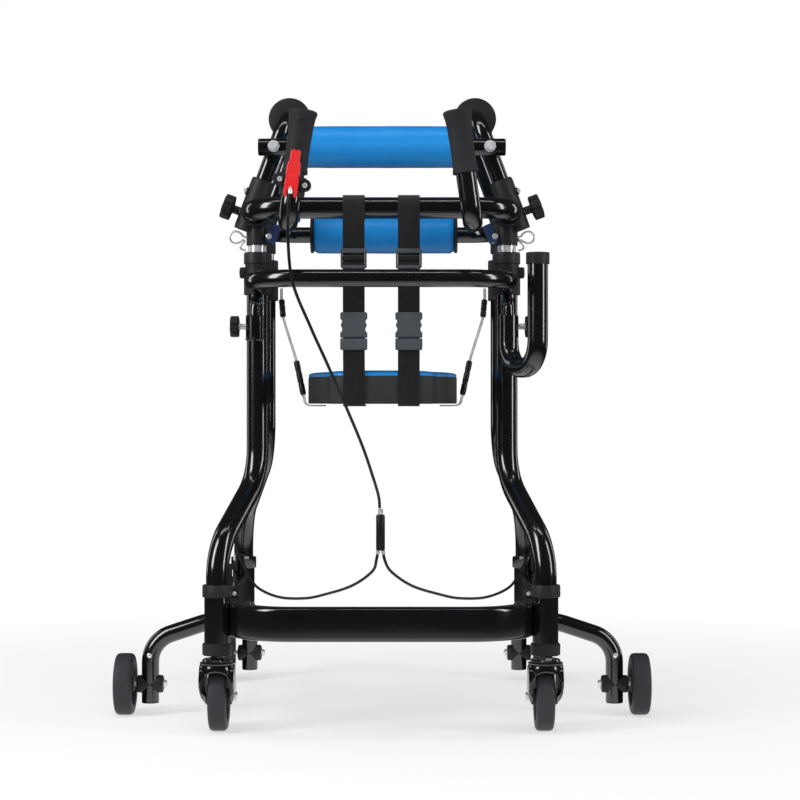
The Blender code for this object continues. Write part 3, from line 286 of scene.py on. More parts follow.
def black_paint():
    """Gloss black stoved paint: deep, a little uneven, with fine dust in the finish."""
    made = Finish("gloss_black_paint", 0.16, coat=0.15, ior=1.75)
    cloud = made.noise(9.0)
    dust = made.noise(900.0, 2.0)
    ripple = made.noise(160.0, 2.0)
    return made.wear(made.blend(cloud, rgb(6, 6, 7), rgb(12, 12, 13)), cloud * 0.85 + dust * 0.15, 0.12, 0.2,
                     ripple + dust * 0.2, 0.04, 0.0002)


def moulded_plastic(name, dark, light, low, high, grain=1500.0, depth=0.00015):
    """Moulded plastic with a fine grain and a slightly polished, uneven skin."""
    made = Finish(name, 0.5, specular=0.32)
    cloud = made.noise(30.0)
    return made.wear(made.blend(cloud, dark, light), cloud, low, high, made.noise(grain, 2.0), 0.5, depth)


def blue_cloth():
    """Coated blue cloth: a fine plain weave under a smooth skin."""
    made = Finish("blue_cover", 0.38, coat=0.08, specular=0.35)
    cloud = made.noise(14.0)
    weave = made.waves("X", 260.0, 0.4) * made.waves("DIAGONAL", 260.0, 0.4)
    wrinkle = made.noise(38.0, 4.0)
    colour = made.blend(cloud * 0.6 + weave * 0.25, rgb(6, 108, 180), rgb(20, 132, 194))
    return made.wear(colour, cloud, 0.3, 0.44, weave * 0.25 + wrinkle, 0.35, 0.0012)


def polished_steel():
    """Bright steel with faint drawing marks."""
    made = Finish("bright_steel", 0.2, metallic=0.6)
    marks = made.noise(500.0, 2.0, (1.0, 1.0, 0.12))
    colour = made.blend(marks, rgb(214, 216, 219), rgb(240, 241, 243))
    return made.wear(colour, marks, 0.12, 0.26, marks, 0.1, 0.0001)


def drawn_wire():
    """Grey wire rope, laid in fine strands."""
    made = Finish("wire_rope", 0.42, metallic=0.5)
    lay = made.waves("DIAGONAL", 420.0, 0.3)
    colour = made.blend(lay, rgb(168, 170, 174), rgb(212, 214, 218))
    return made.wear(colour, lay, 0.34, 0.5, lay, 0.4, 0.0002)


def woven_black():
    """Black webbing: ribs across the strap, with warp rows along it."""
    made = Finish("black_webbing", 0.75, sheen=0.08, specular=0.3)
    across, deep, high = [made.node("SeparateXYZ", {}, {0: made.places}, name) for name in "XYZ"]
    rows = made.sine((high + deep) * 3900.0)
    cloth = rows * made.sine(across * 2600.0)
    cloud = made.noise(60.0)
    colour = made.blend(cloth * 0.3 + cloud * 0.4, rgb(13, 13, 14), rgb(30, 31, 33))
    return made.wear(colour, cloud, 0.62, 0.85, cloth + rows * 0.5, 0.6, 0.0004)


def red_plastic():
    """Gloss red moulded plastic."""
    made = Finish("red_lever", 0.25, coat=0.3)
    cloud = made.noise(40.0)
    colour = made.blend(cloud, rgb(178, 6, 10), rgb(204, 14, 18))
    return made.wear(colour, cloud, 0.2, 0.32, made.noise(900.0), 0.2, 0.0001)


PAINT = black_paint()
PLASTIC = moulded_plastic("matte_black_plastic", rgb(20, 21, 23), rgb(31, 32, 34), 0.4, 0.58)
GRIP_RUBBER = moulded_plastic("grip_rubber", rgb(22, 23, 26), rgb(33, 34, 37), 0.6, 0.78, 700.0, 0.0003)
TYRE = moulded_plastic("wheel_rubber", rgb(38, 40, 43), rgb(50, 52, 55), 0.5, 0.66, 900.0, 0.0002)
BUCKLE = moulded_plastic("grey_buckle", rgb(52, 56, 60), rgb(66, 70, 74), 0.4, 0.52)
BAND = moulded_plastic("seat_side_band", rgb(30, 31, 33), rgb(44, 45, 47), 0.5, 0.66, 500.0, 0.0003)
SHEATH = moulded_plastic("cable_sheath", rgb(14, 14, 16), rgb(22, 22, 24), 0.3, 0.42, 900.0, 0.00002)
NAVY = moulded_plastic("navy_tab", rgb(24, 42, 78), rgb(38, 60, 104), 0.5, 0.65, 700.0)
BLUE = blue_cloth()
STEEL = polished_steel()
WIRE = drawn_wire()
WEBBING = woven_black()
RED = red_plastic()
SLOT_FINISH = {
    "gloss_black_paint": PAINT, "matte_black_plastic": PLASTIC, "grip_rubber": GRIP_RUBBER,
    "wheel_rubber": TYRE, "blue_cover": BLUE, "bright_steel": STEEL, "red_lever": RED,
    "black_webbing": WEBBING, "grey_buckle": BUCKLE, "seat_side_band": BAND,
}
FINISH_SLOT = {made.name: slot for slot, made in SLOT_FINISH.items()}
FINISH_SLOT.update({SHEATH.name: "matte_black_plastic", NAVY.name: "matte_black_plastic"})
FINISH_SLOT[WIRE.name] = "bright_steel"
for row in frame["record"]["subparts"]:
    shown = frame["nodes"][row["node"]]
    shown.data.materials.clear()
    shown.data.materials.append(SLOT_FINISH[row["material_slot"]])


def deselect():
    if bpy.context.object and bpy.context.object.mode != "OBJECT":
        bpy.ops.object.mode_set(mode="OBJECT")
    bpy.ops.object.select_all(action="DESELECT")


def pick(piece):
    """Makes one piece the selected and active one."""
    deselect()
    piece.select_set(True)
    bpy.context.view_layer.objects.active = piece


def settle(piece, name, finish, body, replaces=(), angle=35.0):
    """Applies the piece's place and modifiers, then gives it its name, finish and body.

    A piece without a finish stays a bare mesh, to be joined or cut. A body given as two places is for soft
    goods that stretch from the frame to the upper frame between them; such a piece is left unattached, with
    its place baked in.
    """
    pick(piece)
    if piece.type != "MESH":
        piece = as_mesh()
    bpy.ops.object.transform_apply(location=True, rotation=True, scale=True)
    for step in list(piece.modifiers):
        bpy.ops.object.modifier_apply(modifier=step.name)
    if finish is None:
        return piece
    bpy.ops.object.shade_smooth_by_angle(angle=math.radians(angle))
    piece.name = name
    piece.data.name = name
    piece.data.materials.clear()
    piece.data.materials.append(finish)
    if isinstance(body, str):
        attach(piece, body)
    else:
        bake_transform(piece)
    if replaces:
        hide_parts(replaces)
    return piece


def bent(corners, bend, step=6.0):
    """Points of a line through corners, rounded at each inner corner."""
    bends = bend if isinstance(bend, list) else [bend] * (len(corners) - 2)
    points = [corners[0].copy()]
    for index, radius in enumerate(bends, start=1):
        corner = corners[index]
        back = (corners[index - 1] - corner).normalized()
        ahead = (corners[index + 1] - corner).normalized()
        turn = math.pi - back.angle(ahead)
        middle = corner + (back + ahead).normalized() * (radius / math.cos(turn / 2))
        first = corner + back * radius * math.tan(turn / 2) - middle
        axis = back.cross(ahead).normalized()
        count = max(3, math.ceil(turn / math.radians(step)))
        for part in range(count + 1):
            points.append(middle + Matrix.Rotation(-turn * part / count, 3, axis) @ first)
    points.append(corners[-1].copy())
    return points


def smooth_line(places, spacing):
    """Points along a Catmull-Rom curve through chosen places."""
    ends = [places[0] * 2 - places[1]] + places + [places[-1] * 2 - places[-2]]
    points = []
    for index in range(1, len(ends) - 2):
        a, b, c, d = ends[index - 1:index + 3]
        count = max(1, round((c - b).length / spacing))
        for part in range(count):
            t = part / count
            points.append(0.5 * (2 * b + (c - a) * t + (2 * a - 5 * b + 4 * c - d) * t * t
                                 + (3 * b - a - 3 * c + d) * t ** 3))
    points.append(places[-1].copy())
    return points


def drawn(places):
    """A straight-sided curve through places, as the active object."""
    deselect()
    bpy.ops.curve.primitive_nurbs_path_add(location=(0.0, 0.0, 0.0))
    line = bpy.context.object.data
    line.splines.clear()
    spline = line.splines.new("POLY")
    spline.points.add(len(places) - 1)
    for point, place in zip(spline.points, places):
        point.co = (*place, 1.0)
    return line


def drawn_outline(outline):
    """A closed curve through (u, v) pairs."""
    line = drawn([(u, v, 0.0) for u, v in outline])
    line.splines[0].use_cyclic_u = True
    return line


def as_mesh():
    bpy.ops.object.convert(target="MESH")
    return bpy.context.object


def tube(name, points, radius, finish, body, replaces=(), wall=0.0, detail=12):
    """A round tube along points; with a wall it is open at its ends."""
    line = drawn(points)
    line.twist_mode = "MINIMUM"
    line.bevel_depth = radius
    line.bevel_resolution = detail
    line.use_fill_caps = wall == 0.0
    piece = as_mesh()
    if wall > 0.0:
        thick = piece.modifiers.new("wall", "SOLIDIFY")
        thick.thickness = wall
        thick.offset = -1.0
    return settle(piece, name, finish, body, replaces)


def grow(rings, place, axis, loop=False):
    """Grows the active piece's open outline ring by ring along an axis: (share, height) pairs."""
    bpy.ops.object.mode_set(mode="EDIT")
    bpy.ops.mesh.select_all(action="SELECT")
    share, height = rings[0]
    for next_share, next_height in rings[1:]:
        bpy.ops.mesh.extrude_region_move(TRANSFORM_OT_translate={"value": axis * (next_height - height)})
        ratio = next_share / share
        bpy.ops.transform.resize(value=(ratio, ratio, ratio), center_override=place + axis * next_height)
        share, height = next_share, next_height
    bpy.ops.mesh.select_all(action="SELECT")
    if loop:
        bpy.ops.mesh.remove_doubles(threshold=0.00002)
    else:
        bpy.ops.mesh.fill_holes(sides=0)
    bpy.ops.mesh.select_all(action="SELECT")
    bpy.ops.mesh.normals_make_consistent(inside=False)
    bpy.ops.object.mode_set(mode="OBJECT")


def turned(name, rings, place, axis, finish, body, replaces=(), steps=48, angle=35.0, loop=False):
    """A turned piece drawn ring by ring along an axis: (radius, height) pairs.

    A loop has no end caps, because what it stands on fills its bore.
    """
    deselect()
    radius, height = rings[0]
    bpy.ops.mesh.primitive_circle_add(vertices=steps, radius=radius, location=place + axis * height,
                                      rotation=axis.to_track_quat("Z", "Y").to_euler())
    grow(rings, place, axis, loop)
    return settle(bpy.context.object, name, finish, body, replaces, angle)


def rod(name, start, end, radius, finish, body, replaces=(), edge=0.0006, steps=36):
    """A straight round bar with softened ends."""
    reach = (end - start).length
    rings = [(radius - edge, 0.0), (radius, edge), (radius, reach - edge), (radius - edge, reach)]
    return turned(name, rings, start, (end - start).normalized(), finish, body, replaces, steps)


def block(name, place, size, finish, body, replaces=(), edge=0.0015, turn=None, segments=3):
    """A block with rounded edges, about its centre."""
    deselect()
    bpy.ops.mesh.primitive_cube_add(size=1.0, location=place)
    piece = bpy.context.object
    piece.scale = size
    bpy.ops.object.transform_apply(location=False, rotation=False, scale=True)
    if turn is not None:
        piece.rotation_euler = turn.to_euler()
    round_off = piece.modifiers.new("edge", "BEVEL")
    round_off.width = edge
    round_off.segments = segments
    return settle(piece, name, finish, body, replaces, 40.0)


def plate(name, outline, thickness, place, finish, body, replaces=(), edge=0.0006, bevel_steps=2):
    """A flat plate from an outline in the plane that place turns and moves."""
    sheet = drawn_outline(outline)
    sheet.dimensions = "2D"
    sheet.fill_mode = "BOTH"
    sheet.extrude = thickness / 2 - edge
    sheet.bevel_depth = edge
    sheet.bevel_resolution = bevel_steps
    sheet.offset = -edge
    piece = as_mesh()
    bpy.ops.object.mode_set(mode="EDIT")
    bpy.ops.mesh.select_all(action="SELECT")
    bpy.ops.mesh.remove_doubles(threshold=0.00001)
    bpy.ops.mesh.normals_make_consistent(inside=False)
    bpy.ops.object.mode_set(mode="OBJECT")
    piece.matrix_world = place
    return settle(piece, name, finish, body, replaces, 30.0)


def arc(centre, radius, first, last, count):
    """Points of an arc in a plane, angles in degrees."""
    angles = [math.radians(first + (last - first) * index / count) for index in range(count + 1)]
    return [(centre[0] + radius * math.cos(angle), centre[1] + radius * math.sin(angle)) for angle in angles]


def facing(place, across, up):
    """The place of a plate whose outline runs across and up."""
    turn = Matrix((across, up, across.cross(up).normalized())).transposed().to_4x4()
    return Matrix.Translation(place) @ turn


def mirrored(right):
    """A closed outline from its right half, listed from the bottom up."""
    return right + [(-u, v) for u, v in reversed(right)]


def carve(piece, operation, others):
    """Joins or cuts a bare mesh with others, which are then removed."""
    pick(piece)
    for other in others:
        step = piece.modifiers.new(operation.lower(), "BOOLEAN")
        step.operation = operation
        step.solver = "EXACT"
        step.object = other
        bpy.ops.object.modifier_apply(modifier=step.name)
        bpy.data.objects.remove(other, do_unlink=True)
    return piece


def round_edges(piece, width):
    """Softens the sharp edges of a bare mesh."""
    soften = piece.modifiers.new("edge", "BEVEL")
    soften.width = width
    soften.segments = 2
    soften.limit_method = "ANGLE"
    soften.angle_limit = math.radians(35.0)
    return piece


def crease(piece, depth, size):
    """Presses shallow folds into a soft piece."""
    folds = bpy.data.textures.new(piece.name + "_folds", "CLOUDS")
    folds.noise_scale = size
    folds.noise_depth = 2
    pick(piece)
    press = piece.modifiers.new("folds", "DISPLACE")
    press.texture = folds
    press.texture_coords = "LOCAL"
    press.strength = depth
    press.mid_level = 0.6
    bpy.ops.object.modifier_apply(modifier=press.name)


def cross_bar():
    """The base's cross bar, with rounded ends."""
    half = 0.014
    bend = 0.088
    inner = 0.214 - bend
    end_y = -0.06 + bend
    outline = arc((-inner, end_y), bend + half, 180.0, 270.0, 14)
    outline += arc((inner, end_y), bend + half, 270.0, 360.0, 14)
    outline += arc((inner, end_y), bend - half, 360.0, 270.0, 12)
    outline += arc((-inner, end_y), bend - half, 270.0, 180.0, 12)
    plate("cross_bar", outline, BAR_HEIGHT, Matrix.Translation(at(0, 0, BAR_MIDDLE_Z)), PAINT, "frame",
          "base_frame", edge=0.006, bevel_steps=5)


def base_side(word, side):
    """A side bar, the post sleeve with its foot ring, and the rear sleeve with its tube."""
    lean = Matrix.Rotation(-side * math.atan((REAR_X - POST_X) / REAR_Y), 3, "Z")
    block(f"side_bar_{word}", at(side * (POST_X + REAR_X) / 2, (REAR_Y + 0.01) / 2, BAR_MIDDLE_Z),
          (0.028, REAR_Y - 0.01, BAR_HEIGHT), PAINT, "frame", edge=0.006, turn=lean, segments=5)
    post = at(side * POST_X, 0, 0)
    sleeve = mm((15, 116), (19, 116), (19, 212.5), (18.3, 213), (16.8, 213), (16.8, 190))
    turned(f"post_sleeve_{word}", sleeve, post, Z, PAINT, "frame")
    foot = mm((15, 115), (20.5, 115), (21.9, 116.5), (21.9, 131), (20.5, 132.5), (19.1, 133), (19.1, 117))
    turned(f"post_foot_{word}", foot, post, Z, PLASTIC, "frame")
    stub = [at(side * REAR_X, REAR_Y, 0.17), at(side * REAR_X, REAR_Y, 0.15),
            at(side * REAR_STUB_X, REAR_Y, 0.115), at(side * REAR_STUB_X, REAR_Y, 0.02)]
    tube(f"rear_stub_{word}", bent(stub, 0.04, 9.0), LOW_TUBE_R, PAINT, "frame")
    sleeve = mm((15, 136), (18, 136), (19, 137), (19, 195.5), (21.2, 196), (21.9, 197), (21.9, 214),
                (21, 215), (16.8, 215), (16.8, 190))
    turned(f"rear_sleeve_{word}", sleeve, at(side * REAR_X, REAR_Y, 0), Z, PAINT, "frame")


def outrigger(word, side):
    """The curved tube of an outrigger, and the feet of the lower tubes."""
    line = [at(side * x, OUTRIGGER_Y, z) for x, z in mm((244, 147), (276, 142.5), (360, 114.9), (360, 20))]
    tube(f"outrigger_{word}", bent(line, [0.08, 0.046]), LOW_TUBE_R, PAINT, "frame")
    foot = mm((12, 20.5), (13, 20), (13, 18.5), (6, 18))
    for part, x, y in (("outrigger", OUTRIGGER_X, OUTRIGGER_Y), ("rear_stub", REAR_STUB_X, REAR_Y)):
        turned(f"{part}_foot_{word}", foot, at(side * x, y, 0), Z, PLASTIC, "frame")


def legs(word, side):
    """The leg tubes with real walls, open at their tops for the telescoping tubes."""
    for label, upright_y, foot_x, foot_y, knee_z, low_z in (
            ("front", FRONT_UPRIGHT_Y, POST_X, 0.0, 0.27, 0.372),
            ("rear", REAR_UPRIGHT_Y, REAR_X, REAR_Y, 0.285, 0.4)):
        corners = [at(side * foot_x, foot_y, LEG_FOOT_Z), at(side * foot_x, foot_y, knee_z),
                   at(side * UPRIGHT_X, upright_y, low_z), at(side * UPRIGHT_X, upright_y, LEG_TOP_Z)]
        name = f"{label}_leg_{word}"
        tube(f"{name}_tube", bent(corners, LEG_BEND), LEG_R, PAINT, "frame", name, wall=WALL)


def lower_ring():
    """The lower ring's front bar."""
    line = u_line(LOWER_RING_X, 0.113, LOWER_RING_Y, LOWER_RING_Z)
    tube("lower_ring_bar", bent(line, 0.07), LOWER_RING_R, PAINT, "frame", "lower_ring")


def lower_ring_side(word, side):
    """A side rail of the lower ring, and the clamp heads on the legs' tops."""
    x = side * UPRIGHT_X
    rod(f"lower_rail_{word}", at(x, 0.137, LOWER_RING_Z), at(x, 0.288, LOWER_RING_Z), LOWER_RING_R, PAINT,
        "frame")
    head = mm((16.7, 660), (16.7, 648), (20, 648), (20.8, 649), (20.8, 689), (19, 690), (19, 694.5),
              (20.8, 695.5), (20.8, 710.5), (19.8, 712.8), (14.3, 713), (14.3, 701))
    bolt = mm((4.5, -14.2), (5.2, -13.6), (5.2, -10))
    for label, y in UPRIGHTS:
        name = f"{label}_head"
        turned(f"{name}_{word}", head, at(x, y, 0), Z, PLASTIC, "frame")
        block(f"{name}_ear_{word}", at(x + side * 0.0198, y - 0.006, 0.6815), (0.014, 0.014, 0.017), PLASTIC,
              "frame", edge=0.003)
        turned(f"{name}_bolt_{word}", bolt, at(x + side * 0.0222, y, 0.6815), Y, PLASTIC, "frame", **HEX)


def upper_ring():
    """The upper ring's front bar."""
    line = u_line(UPRIGHT_X, 0.0997, 0.0, RING_Z)
    tube("upper_ring_bar", bent(line, RING_BEND), RING_R, PAINT, UPPER, "upper_ring")


def side_frame(word, side):
    """An upper side frame: rail, ring socket, telescoping tubes, barrels and hoop sleeves."""
    x = side * UPRIGHT_X
    tube(f"rail_{word}", [at(x, FRONT_UPRIGHT_Y - 0.013, RING_Z), at(x, 0.43, RING_Z)], RAIL_R, PAINT, UPPER,
         f"side_frame_{word}", wall=WALL)
    socket = mm((16.3, 85), (16.3, 70.5), (18.8, 70), (19.8, 71.2), (19.8, 138), (18.6, 140), (17, 140.5))
    turned(f"ring_socket_{word}", socket, at(x, 0, RING_Z), Y, PLASTIC, UPPER)
    barrel = mm((14.5, 723.5), (16, 723.5), (16.9, 724.5), (16.9, 786), (15.5, 790), (12, 792))
    for label, y in UPRIGHTS:
        rod(f"{label}_telescope_{word}", at(x, y, 0.4604), at(x, y, 0.729), TELESCOPE_R, STEEL, UPPER)
        turned(f"{label}_barrel_{word}", barrel, at(x, y, 0), Z, PLASTIC, UPPER)
    axis = Vector((-side * HOOP_LEAN, 0.0, 1.0)).normalized()
    for label, y in (("front", FRONT_UPRIGHT_Y), ("rear", HOOP_REAR_Y)):
        low = on_hoop(side, y, HOOP_SLEEVE_LOW_Z)
        reach = (on_hoop(side, y, HOOP_SLEEVE_TOP_Z) - low).length
        sleeve = [(0.012, 0.0), (0.0172, 0.0), (0.018, 0.001), (0.018, reach - 0.004),
                  (0.0172, reach - 0.001), (0.016, reach), (0.0131, reach), (0.0131, reach - 0.012)]
        turned(f"{label}_hoop_sleeve_{word}", sleeve, low, axis, PLASTIC, UPPER)


def hoop(word, side):
    """An underarm hoop, and the disc at the front of its roll."""
    corners = [on_hoop(side, FRONT_UPRIGHT_Y, 0.757), on_hoop(side, FRONT_UPRIGHT_Y, HOOP_TOP_Z),
               on_hoop(side, HOOP_REAR_Y, HOOP_TOP_Z), on_hoop(side, HOOP_REAR_Y, 0.7855)]
    tube(f"hoop_tube_{word}", bent(corners, HOOP_BEND), HOOP_R, PAINT, UPPER, f"hoop_{word}")
    disc = mm((13.1, 0.2), (29.9, 0.2), (32, 1), (32.6, 2.5), (32.6, 6), (31.8, 7), (13.1, 7))
    turned(f"roll_disc_{word}", disc, on_hoop(side, FRONT_UPRIGHT_Y + HOOP_BEND, HOOP_TOP_Z), Y, PLASTIC,
           UPPER, f"pad_disc_{word}", loop=True)


def padded_roll(name, centre, half, axis, bar_r, body, replaced):
    """A foam roll in a sewn blue cover: crowned, with pulled-in sewn ends and soft creases."""
    count = 44
    swell = 0.0004
    rings = [(bar_r + 0.0006, -half), (PAD_R * 0.62, -half - 0.0004), (PAD_R - 0.0045, -half + 0.0002)]
    for index in range(count + 1):
        t = -1.0 + 2.0 * index / count
        shoulder = min(1.0, (1.0 - abs(t)) / 0.035)
        crown = PAD_R + swell * (1.0 - t * t) - 0.003 * (1.0 - shoulder) ** 2
        rings.append((crown, t * (half - 0.0012)))
    rings += [(PAD_R - 0.0045, half - 0.0002), (PAD_R * 0.62, half + 0.0004), (bar_r + 0.0006, half)]
    piece = turned(name, rings, centre, axis, BLUE, body, replaced, steps=72, angle=60.0, loop=True)
    crease(piece, 0.0007, 0.03)


def chest_bar():
    """The chest bar and its roll."""
    middle = at(0, CHEST_BAR_Y, CHEST_Z)
    half = X * CHEST_HALF
    rod("chest_tube", middle - half, middle + half, CHEST_BAR_R, PAINT, UPPER, "chest_bar", edge=0.0015)
    padded_roll("chest_cover", middle, 0.125, X, CHEST_BAR_R, UPPER, "chest_roll")


def hoop_roll(word, side):
    """A bolt of the chest bar with its washer, and the underarm roll."""
    place = at(side * hoop_x(CHEST_Z), CHEST_BAR_Y - CHEST_BAR_R, CHEST_Z)
    washer = mm((8.8, 1), (8.8, -1.2), (8, -2))
    turned(f"chest_washer_{word}", washer, place, Y, WIRE, UPPER)
    turned(f"chest_bolt_{word}", mm((6.6, -1.5), (6.6, -6.4), (5.2, -7.6)), place, Y, STEEL, UPPER, **HEX)
    start = FRONT_UPRIGHT_Y + HOOP_BEND + 0.0073
    end = HOOP_REAR_Y - HOOP_BEND
    padded_roll(f"underarm_cover_{word}", on_hoop(side, (start + end) / 2, HOOP_TOP_Z), (end - start) / 2, Y,
                HOOP_R, UPPER, f"underarm_pad_{word}")


def hip_bar():
    """The hip bar and its roll."""
    line = u_line(UPRIGHT_X, 0.33, HIP_Y, RING_Z)
    tube("hip_tube", bent(line, RING_BEND), HIP_R, PAINT, "hip_support", "hip_bar")
    padded_roll("hip_cover", at(0, HIP_Y, RING_Z), HIP_ROLL_HALF, X, HIP_R, "hip_support", "hip_roll")


def hip_roll_end(word, side):
    """A black end of the hip roll."""
    rings = mm((13.8, 0.2), (29, 0.2), (30.8, 1.2), (30.8, 4.8), (29, 5.8), (13.8, 6))
    turned(f"hip_roll_end_{word}", rings, at(side * HIP_ROLL_HALF, HIP_Y, RING_Z), X * side, PLASTIC,
           "hip_support", loop=True)


def handle(word, side):
    """A handle: bent tube, clamp ring on the upper ring, and rubber grip."""
    x = side * (HANDLE_X + 0.003)
    low = on_handle(side, HANDLE_LOW_Z)
    high = on_handle(side, HANDLE_TOP_Z)
    line = [high, low, at(x, -RING_R - 0.001, RING_Z - 0.008)]
    tube(f"handle_tube_{word}", bent(line, 0.028), HANDLE_R, PAINT, UPPER, f"handle_{word}")
    clamp = mm((16, -12), (20, -12), (20.8, -11.2), (20.8, 11.2), (20, 12), (16, 12))
    turned(f"handle_clamp_{word}", clamp, at(x, 0, RING_Z), X, PLASTIC, UPPER, loop=True)
    start = on_handle(side, GRIP_LOW_Z)
    reach = (on_handle(side, GRIP_TOP_Z) - start).length
    rings = mm((14.3, 0), (17.2, 0), (18.1, 1), (18.1, 4), (17.3, 6.2), (16.7, 14))
    rings += [(0.0165, reach * 0.35), (0.0168, reach * 0.55), (0.0175, reach * 0.75)]
    top = mm((18.6, -11), (20, -5.5), (20.3, -3), (19.6, -0.8), (17, 0.4), (6, 0.8))
    rings += [(radius, reach + height) for radius, height in top]
    turned(f"grip_sleeve_{word}", rings, start, (high - low).normalized(), GRIP_RUBBER, UPPER, f"grip_{word}")


def small_screws(word, side):
    """The small bright screws on a hoop sleeve and a rear barrel."""
    out = Vector((side, 0.0, HOOP_LEAN)).normalized()
    boss = mm((5.8, 0), (5.8, 2.2), (4.8, 3))
    screw = mm((4, 2.6), (3.6, 4.8), (2, 5.8))
    for label, way, z, turn in (("outer", 1.0, 0.8, 0.35), ("inner", -1.0, 0.797, 0.75)):
        aim = (out * way - Y * turn).normalized()
        start = on_hoop(side, FRONT_UPRIGHT_Y, z) + aim * 0.0176
        turned(f"sleeve_boss_{label}_{word}", boss, start, aim, PLASTIC, UPPER, steps=32)
        turned(f"sleeve_screw_{label}_{word}", screw, start, aim, STEEL, UPPER, steps=28)
    aim = (-X * side * 0.8 - Y * 0.6).normalized()
    start = at(side * UPRIGHT_X, REAR_UPRIGHT_Y, 0.743) + aim * 0.0166
    turned(f"barrel_screw_{word}", mm((4.4, 0), (4, 2.2), (2.4, 3.4)), start, aim, STEEL, UPPER, steps=28)


def grip_tongue():
    """The small tongue at the top of the left grip."""
    turn = Matrix.Rotation(-math.atan((HANDLE_X - HANDLE_TOP_X) / (HANDLE_TOP_Z - HANDLE_LOW_Z)), 3, "Y")
    block("grip_tongue", on_handle(-1.0, 0.8745) - Y * 0.0178, (0.011, 0.0032, 0.007), PLASTIC, UPPER,
          edge=0.0014, turn=turn)


def fork_hood(word, x, fork):
    """A caster's hood: a cup with cheeks, tapered below, with an arch and a well for the wheel."""
    centre = at(x, 0, 0)
    cup = mm((25, 62.5), (26.3, 64), (26.5, 66), (26.5, 97.5), (25.5, 100.5), (23, 102))
    hood = turned("hood", cup, centre, Z, None, fork, steps=64)
    cheek = arc((0.0, 0.078), 0.0235, 20.0, 200.0, 24)
    cheek += arc((CASTER_TRAIL, CASTER_R), 0.0115, 225.0, 385.0, 24)
    plates = plate("cheeks", cheek, 0.051, facing(centre, Y, Z), None, fork)
    taper = [(-0.0268, 0.112)]
    for degrees in range(180, 361, 6):
        angle = math.radians(degrees)
        taper.append((0.0268 * math.cos(angle), 0.075 + 0.05 * math.sin(angle)))
    shape = plate("taper", taper + [(0.0268, 0.112)], 0.12, facing(centre, X, Z), None, fork)
    tunnel = rod("tunnel", at(x, -0.06, 0.069), at(x, 0.016, 0.069), 0.024, None, fork, steps=64)
    below = block("below", at(x, 0.02, 0.0154), (0.036, 0.16, 0.08), None, fork)
    axle = at(x, CASTER_TRAIL, CASTER_R)
    well = rod("well", axle - X * 0.0165, axle + X * 0.0165, 0.051, None, fork, steps=96)
    carve(hood, "UNION", [plates])
    carve(hood, "INTERSECT", [shape])
    carve(hood, "DIFFERENCE", [tunnel, below, well])
    settle(hood, f"fork_hood_{word}", PAINT, fork, fork, 30.0)


def fork_arch_highlight(word, x, fork):
    """A thin grey tube along the hood's arch: a painted highlight for the light on the arch's rounded edge.
    """
    cup_r = 0.0264
    arch_r = 0.0243
    highlight_path = []
    for step in range(41):
        angle = math.radians(-36.0 + 252.0 * step / 40)
        across = arch_r * math.cos(angle)
        highlight_path.append(at(x + across, -math.sqrt(cup_r ** 2 - across ** 2), 0.069 + arch_r * math.sin(angle)))
    # The grey finish on this thin tube paints the highlight along the arch's rounded edge.
    tube(f"fork_rim_{word}", highlight_path, 0.001, BUCKLE, fork, detail=4)


def caster(word, side):
    """A swivel caster: hooded fork, race, stem, axle bolt and wheel."""
    x = side * POST_X
    centre = at(x, 0, 0)
    fork = f"caster_fork_{word}"
    fork_hood(word, x, fork)
    fork_arch_highlight(word, x, fork)
    race = mm((23.5, 101), (25.5, 102), (25.8, 104), (23, 105.2), (22.2, 106), (22.2, 107.5), (20.5, 109.5),
              (15, 109.7))
    turned(f"fork_race_{word}", race, centre, Z, PAINT, fork, steps=64)
    nut = mm((10, 109), (10.8, 109.8), (10.8, 114.2), (10, 114.7))
    turned(f"fork_nut_{word}", nut, centre, Z, PAINT, fork, **HEX)
    rod(f"fork_stem_{word}", at(x, 0, 0.112), at(x, 0, 0.16), 0.0078, STEEL, fork)
    axle = at(x, CASTER_TRAIL, CASTER_R)
    rod(f"caster_axle_{word}", axle - X * 0.0275, axle + X * 0.0275, BOLT_R, STEEL, fork)
    for label, way, radius, reach in (("out", side, 0.0058, 0.0042), ("in", -side, 0.007, 0.0052)):
        bolt = [(radius, 0.0), (radius, reach - 0.001), (radius - 0.0012, reach)]
        turned(f"caster_bolt_{word}_{label}", bolt, axle + X * way * 0.0222, X * way, STEEL, fork, **HEX)
    wheel(f"caster_wheel_{word}", axle, CASTER_R, CASTER_WIDTH, CASTER_HUB_WIDTH)


def wheel(node, centre, radius, width, hub_width):
    """A wheel: round-shouldered tyre with a fine mould line, dished web and hub."""
    half = width / 2
    hub = hub_width / 2
    near = [(0.0043, hub), (0.0112, hub), (0.0118, hub - 0.0008), (0.0124, min(hub, half - 0.007)),
            (radius * 0.3, half - 0.0068), (radius * 0.62, half - 0.0056), (radius * 0.67, half - 0.0012),
            (radius * 0.7, half - 0.0002), (radius - 0.0062, half), (radius - 0.0036, half - 0.0006),
            (radius - 0.0014, half - 0.0022), (radius - 0.0004, half - 0.0046), (radius, half - 0.0075),
            (radius, 0.0005), (radius - 0.0003, 0.0)]
    rings = near + [(r, -h) for r, h in near[-2::-1]]
    turned(f"{node}_tyre", rings, centre, X, TYRE, node, node, steps=96, angle=25.0, loop=True)


def low_wheels(word, side):
    """The outrigger wheel and the rear wheel."""
    for part, x, y in (("outrigger", OUTRIGGER_WHEEL_X, OUTRIGGER_Y), ("rear", REAR_WHEEL_X, REAR_Y)):
        wheel(f"{part}_wheel_{word}", at(side * x, y, WHEEL_R), WHEEL_R, WHEEL_WIDTH, WHEEL_WIDTH)


